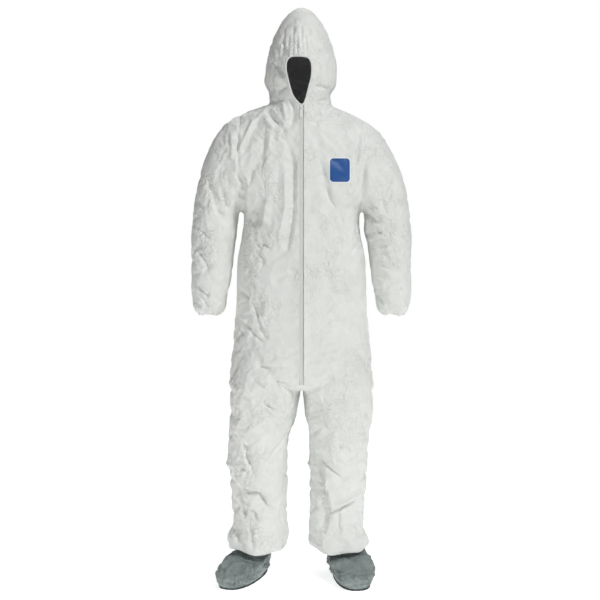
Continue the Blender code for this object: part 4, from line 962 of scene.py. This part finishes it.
bands = {}
for side, sign in SIDES.items():
    wrist = loop_band("wrist_band_" + side, at(sign * 0.2945, 0, CUFF_HEIGHT), 0.012, 0.010, 0.035, 0.0050, ELASTIC)
    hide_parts("wrist_elastic_" + side)
    ankle = loop_band("hem_band_" + side, at(sign * ANKLE[side][0], 0.005, HEM_HEIGHT), 0.014, 0.012, 0.08, 0.0055, ELASTIC)
    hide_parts("hem_elastic_" + side)
    bands[side] = (wrist, ankle)

# %% [markdown]
# ## Zip
# The zip is a tape on each side with a moulded coil of small teeth along its edge. The slider and
# the pull tab are the solid model's own, because they move.

# %% Zip tapes and teeth
TOOTH_PITCH = 0.0022
TOOTH = (0.0030, 0.0016, 0.0012)
TAPE_IN, TAPE_OUT = 0.0012, 0.0078
ZIP_TURN = -math.atan(ZIP_SLOPE)


def on_zip(height, out, x=0.0):
    """A point out in front of the zip's plane."""
    return at(x, zip_y(height) - out * math.cos(ZIP_TURN), height + out * math.sin(ZIP_TURN))


tapes = {}
for side, sign in SIDES.items():
    bm = bmesh.new()
    rows = []
    # on the wearer's left the tape dips under the cover edge, which leaves a dark groove beside it
    front_line = ((TAPE_IN, 0.0014), (0.0048, 0.0014), (TAPE_OUT, -0.0012))
    if side == "left":
        front_line = ((TAPE_IN, 0.0014), (0.0046, 0.0014), (0.0052, -0.0050), (TAPE_OUT, -0.0060))
    outline = list(front_line) + [(x, out - 0.0007) for x, out in reversed(front_line)]
    for height in np.linspace(ZIP_BOTTOM[1] + 0.003, ZIP_TOP[1] - 0.003, 220):
        rows.append([bm.verts.new(on_zip(height, out, sign * x)) for x, out in outline])
    for row, following in zip(rows, rows[1:]):
        for i in range(len(row)):
            j = (i + 1) % len(row)
            bm.faces.new((row[i], row[j], following[j], following[i]))
    bm.faces.new(rows[0])
    bm.faces.new(rows[-1])
    bmesh.ops.recalc_face_normals(bm, faces=bm.faces)
    tapes[side] = new_object("tape_" + side, bm, TAPE)
    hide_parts("zip_tape_" + side)
    bm = bmesh.new()
    count = int((ZIP_TOP[1] - ZIP_BOTTOM[1] - 0.012) / TOOTH_PITCH)
    for number in range(count):
        height = ZIP_BOTTOM[1] + 0.006 + (number + (0.5 if sign > 0 else 0.0)) * TOOTH_PITCH
        made = bmesh.ops.create_cube(bm, size=1.0)["verts"]
        bmesh.ops.scale(bm, verts=made, vec=TOOTH)
        bmesh.ops.translate(bm, verts=made, vec=on_zip(height, 0.0014, sign * 0.0009))
    tapes["teeth_" + side] = new_object("teeth_" + side, bm, PLASTIC)
    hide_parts("zip_coil_" + side)

# %% [markdown]
# ## Badge and label
# The badge is a printed film heat-pressed on the chest. It follows the sheet under it, so each of
# its points is dropped onto the skin.

# %% Badge and label
BADGE_AT = (0.119, 1.307)


def pressed(name, half_width, half_height, corner, lift, material):
    """A rounded plate laid on the chest."""
    bm = bmesh.new()
    bmesh.ops.create_grid(bm, x_segments=40, y_segments=44, size=1.0)
    for vert in bm.verts:
        x, z = vert.co.x * half_width, vert.co.y * half_height
        over_x, over_z = abs(x) - (half_width - corner), abs(z) - (half_height - corner)
        if over_x > 0 and over_z > 0:
            length = math.hypot(over_x, over_z)
            scale = max(over_x, over_z) / length
            x = math.copysign(half_width - corner + over_x * scale, x)
            z = math.copysign(half_height - corner + over_z * scale, z)
        x, z = BADGE_AT[0] + x, at(0, 0, BADGE_AT[1] + z).z
        hit = skin_tree.ray_cast(Vector((x, -0.4, z)), Vector((0, 1, 0)))[0]
        vert.co = Vector((x, hit.y - lift, z))
    for _ in range(14):
        bmesh.ops.smooth_vert(bm, verts=bm.verts, factor=0.5, use_axis_y=True)
    bmesh.ops.recalc_face_normals(bm, faces=bm.faces)
    if sum((f.normal.y for f in bm.faces)) > 0:
        bmesh.ops.reverse_faces(bm, faces=bm.faces)
    edge = bmesh.ops.extrude_edge_only(bm, edges=[e for e in bm.edges if e.is_boundary])
    rim = [part for part in edge["geom"] if isinstance(part, bmesh.types.BMVert)]
    bmesh.ops.translate(bm, verts=rim, vec=(0, lift + 0.0006, 0))
    return new_object(name, bm, material)


badge = pressed("badge_border", 0.0345, 0.0400, 0.0135, 0.0014, WHITE_FILM)
badge_face = pressed("badge_face", 0.0308, 0.0363, 0.0108, 0.0019, BLUE_FILM)
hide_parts("chest_badge")
low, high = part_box("size_label")
bm = bmesh.new()
bmesh.ops.create_grid(bm, x_segments=24, y_segments=16, size=0.5)
for vert in bm.verts:
    share_x, share_z = vert.co.x + 0.5, vert.co.y + 0.5
    x, z = low.x + (high.x - low.x) * share_x, low.z + (high.z - low.z) * share_z
    y = low.y + (high.y - low.y) * (1 - (2 * share_x - 1) ** 2) * 0.8 + 0.0006 * math.sin(9 * share_z + 3 * share_x)
    vert.co = Vector((x, y, z))
bmesh.ops.recalc_face_normals(bm, faces=bm.faces)
label = new_object("neck_label", bm, LABEL)
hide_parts("size_label")
waist_low, waist_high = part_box("waist_elastic")

# %% [markdown]
# ## Boots
# Each boot is a soft cloth bag with a flat sole. Its sections come from the solid model, and its
# creases from the same fold idea as the suit, in a coarser, floppier size.

# %% Boots
BOOT = {
    0.0044: (0.226, 0.054, 0.050), 0.0200: (0.236, 0.060, 0.059), 0.0380: (0.228, 0.061, 0.061),
    0.0540: (0.196, 0.060, 0.058), 0.0680: (0.142, 0.058, 0.053), 0.0820: (0.098, 0.056, 0.050),
    0.1050: (0.070, 0.053, 0.047), 0.1500: (0.058, 0.050, 0.046),
}
ANKLE_HEIGHT, ANKLE_Y = 0.100, 0.030


def boot_section(u, height, inset=0.0):
    """A point of the boot about its ankle, with the toe towards -Y."""
    front, back, half_width = section_at(BOOT, height)
    x, y = ring_point(u, half_width - inset, -front + inset, back - inset, 2.6, (back - front) / 2)
    towards_toe = min(max((back - y) / (front + back), 0.0), 1.0)
    narrow = 0.82 + 0.24 * math.sin(0.5 * math.pi * min(towards_toe / 0.62, 1.0))
    blend_in = min(max((0.09 - height) / 0.03, 0), 1)
    return Vector((x * (1 + (narrow - 1) * blend_in), y, height))


boots = {}
for number, (side, sign) in enumerate(SIDES.items()):
    ankle_x, toe_out = ANKLE[side]
    turn = sign * math.radians(toe_out)
    bm = bmesh.new()
    bmesh.ops.create_grid(bm, x_segments=220, y_segments=120, size=0.5)
    for vert in bm.verts:
        u, v = min(max(vert.co.x + 0.5, 0.0), 1.0), min(max(vert.co.y + 0.5, 0.0), 1.0)
        vert.co = boot_section(u, 0.0044 + (0.150 - 0.0044) * v ** 1.25)
    bmesh.ops.remove_doubles(bm, verts=bm.verts, dist=1e-5)
    bmesh.ops.recalc_face_normals(bm, faces=bm.faces)
    bm.normal_update()
    for vert in bm.verts:
        place = vert.co + Vector((number * 3.1, 0, 0))
        big = abs(noise.noise(Vector((place.x * 16, place.y * 13, place.z * 30))))
        warped = place + 0.02 * Vector((noise.noise(place * 20), noise.noise(place * 20 + Vector((5, 5, 5))), 0))
        small = abs(noise.noise(warped * 46))
        fine = abs(noise.noise(warped * 110))
        near_sole = min(max((vert.co.z - 0.0044) / 0.012, 0.15), 1)
        up = 0.0170 * (0.20 - big) + 0.0105 * (0.20 - small) + 0.0030 * (0.2 - fine)
        vert.co += vert.normal * min(up - 0.0010, 0.0035) * near_sole
        swell = math.exp(-((vert.co.z - 0.062) / 0.026) ** 2)
        vert.co.x *= 1 + (0.20 if side == "left" else 0.07) * swell
    for vert in bm.verts:
        x, y = vert.co.x, vert.co.y
        vert.co = at(sign * ankle_x + x * math.cos(turn) - y * math.sin(turn),
                     ANKLE_Y + x * math.sin(turn) + y * math.cos(turn), max(vert.co.z, 0.0040))
    for face in bm.faces:
        face.smooth = True
    boots[side] = new_object("boot_" + side, bm, BOOT_CLOTH)
    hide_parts("boot_upper_" + side)
    path = []
    for i in range(96):
        inner, outer = boot_section(i / 96, 0.144, 0.0042), boot_section(i / 96, 0.144)
        spots = []
        for p in (inner, outer):
            spots.append(at(sign * ankle_x + p.x * math.cos(turn) - p.y * math.sin(turn),
                            ANKLE_Y + p.x * math.sin(turn) + p.y * math.cos(turn), p.z))
        path.append((spots[0], (spots[1] - spots[0]).normalized(), Vector((0, 0, 1))))
    band = ribbon("boot_band_" + side, path, 0.010, 0, 0.0016, ELASTIC, ribs=0.25)
    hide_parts("boot_top_elastic_" + side)
    boots["band_" + side] = band
print("boots made")

# %% [markdown]
# ## Dress the frame
# Each piece gets its finish, and the solids it stands for are hidden. The body, the bands, the boots,
# the zip, the badge and the label ride on bodies of the solid model; the other pieces stay in place.

# %% Ride and replace
def dress(name, material, stands_for=()):
    obj = pieces[name]
    obj.data.materials.append(material)
    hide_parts(*stands_for)
    return obj


body = dress("coverall_body", SHEET, (
    "front_panel_left", "front_panel_right", "back_panel_left", "back_panel_right",
    "neck_panel_left", "neck_panel_right", "waist_elastic"))
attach(body, "torso")
hood = dress("hood", SHEET, ("hood_panel_left", "hood_panel_right", "hood_crown_panel"))
lining = dress("hood_lining", LINING)
for obj in (hood, lining):
    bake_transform(obj)
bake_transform(face_band)
for side, sign in SIDES.items():
    seat = dress("seat_" + side, SHEET, ("thigh_front_" + side, "thigh_back_" + side))
    if side == "left":
        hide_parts("crotch_gusset")
    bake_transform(seat)
    leg = dress("leg_" + side, SHEET, ("shin_front_" + side, "shin_back_" + side))
    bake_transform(leg)
    upper = dress("sleeve_upper_" + side, SHEET, ("upper_sleeve_" + side,))
    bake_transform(upper)
    lower = dress("sleeve_lower_" + side, SHEET, ("lower_sleeve_" + side,))
    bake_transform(lower)
    wrist, ankle = bands[side]
    for obj, holder in ((wrist, "forearm_" + side), (ankle, "shin_" + side), (boots["band_" + side], "boot_" + side)):
        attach(obj, holder)
    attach(boots[side], "boot_" + side)
    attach(tapes[side], "torso")
    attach(tapes["teeth_" + side], "torso")
for obj, slot in ((badge, "badge_print"), (badge_face, "badge_print"), (label, "label_cloth")):
    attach(obj, "torso")
for node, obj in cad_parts.items():
    if node.startswith(("zip_slider", "zip_pull", "zip_top", "zip_bottom")):
        obj.data.materials.clear()
        obj.data.materials.append(PLASTIC)
    if node.startswith("boot_sole"):
        obj.data.materials.clear()
        obj.data.materials.append(SOLE)

# %% [markdown]
# ## Camera, floor and light
# A product photograph on white: a long lens a little above the waist, a white floor that is lit
# almost evenly, and one soft light high on the right that rakes across the folds.

# %% Stage
def lamp(name, place, aim, size, watts):
    data = bpy.data.lights.new(name, "AREA")
    data.shape = "SQUARE"
    data.size = size
    data.energy = watts
    obj = bpy.data.objects.new(name, data)
    bpy.context.scene.collection.objects.link(obj)
    obj.location = place
    obj.rotation_euler = (Vector(aim) - Vector(place)).to_track_quat("-Z", "Y").to_euler()
    return obj


scene = bpy.context.scene
camera = bpy.data.objects.new("camera", bpy.data.cameras.new("camera"))
scene.collection.objects.link(camera)
camera.location = (-0.0045, -4.0, -0.25)
camera.rotation_euler = (math.radians(90 - 4.368), 0, 0)
camera.data.lens = 74.82
scene.camera = camera

floor_bm = bmesh.new()
bmesh.ops.create_circle(floor_bm, segments=96, radius=3.0, cap_ends=True)
bmesh.ops.translate(floor_bm, verts=floor_bm.verts, vec=(0, 0, FLOOR - 0.0005))
white = bpy.data.materials.new("white paper floor")
white.use_nodes = True
paper = white.node_tree.nodes["Principled BSDF"]
paper.inputs["Base Color"].default_value = linear("#F6F6F5")
paper.inputs["Roughness"].default_value = 0.9
paper.inputs["Emission Color"].default_value = (1, 1, 1, 1)
paper.inputs["Emission Strength"].default_value = 0.66
floor = new_object("floor", floor_bm, white)
floor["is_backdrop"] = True

world = bpy.data.worlds.new("studio")
scene.world = world
world.use_nodes = True
studio = world.node_tree
seen = add(studio, "ShaderNodeLightPath").outputs["Is Camera Ray"]
strength = add(studio, "ShaderNodeMapRange", {"Value": seen, "To Min": 0.19, "To Max": 1.0})
studio.nodes["Background"].inputs["Color"].default_value = (1, 1, 1, 1)
studio.links.new(strength.outputs[0], studio.nodes["Background"].inputs["Strength"])
lamp("key", (3.0, -3.2, 3.9), (0, 0, -0.35), 1.0, 214)
lamp("fill", (-2.6, -3.2, 0.9), (0, 0, -0.4), 2.0, 25)
lamp("floor", (0, 3.5, 3.0), (0, 2.5, FLOOR), 3.0, 60)
scene.view_settings.view_transform = "Standard"

# %% Measure and finish
low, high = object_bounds()
print("solid model:", [round(v, 3) for v in (*cad_low, *cad_high)])
print("with its looks:", [round(v, 3) for v in (*low, *high)])
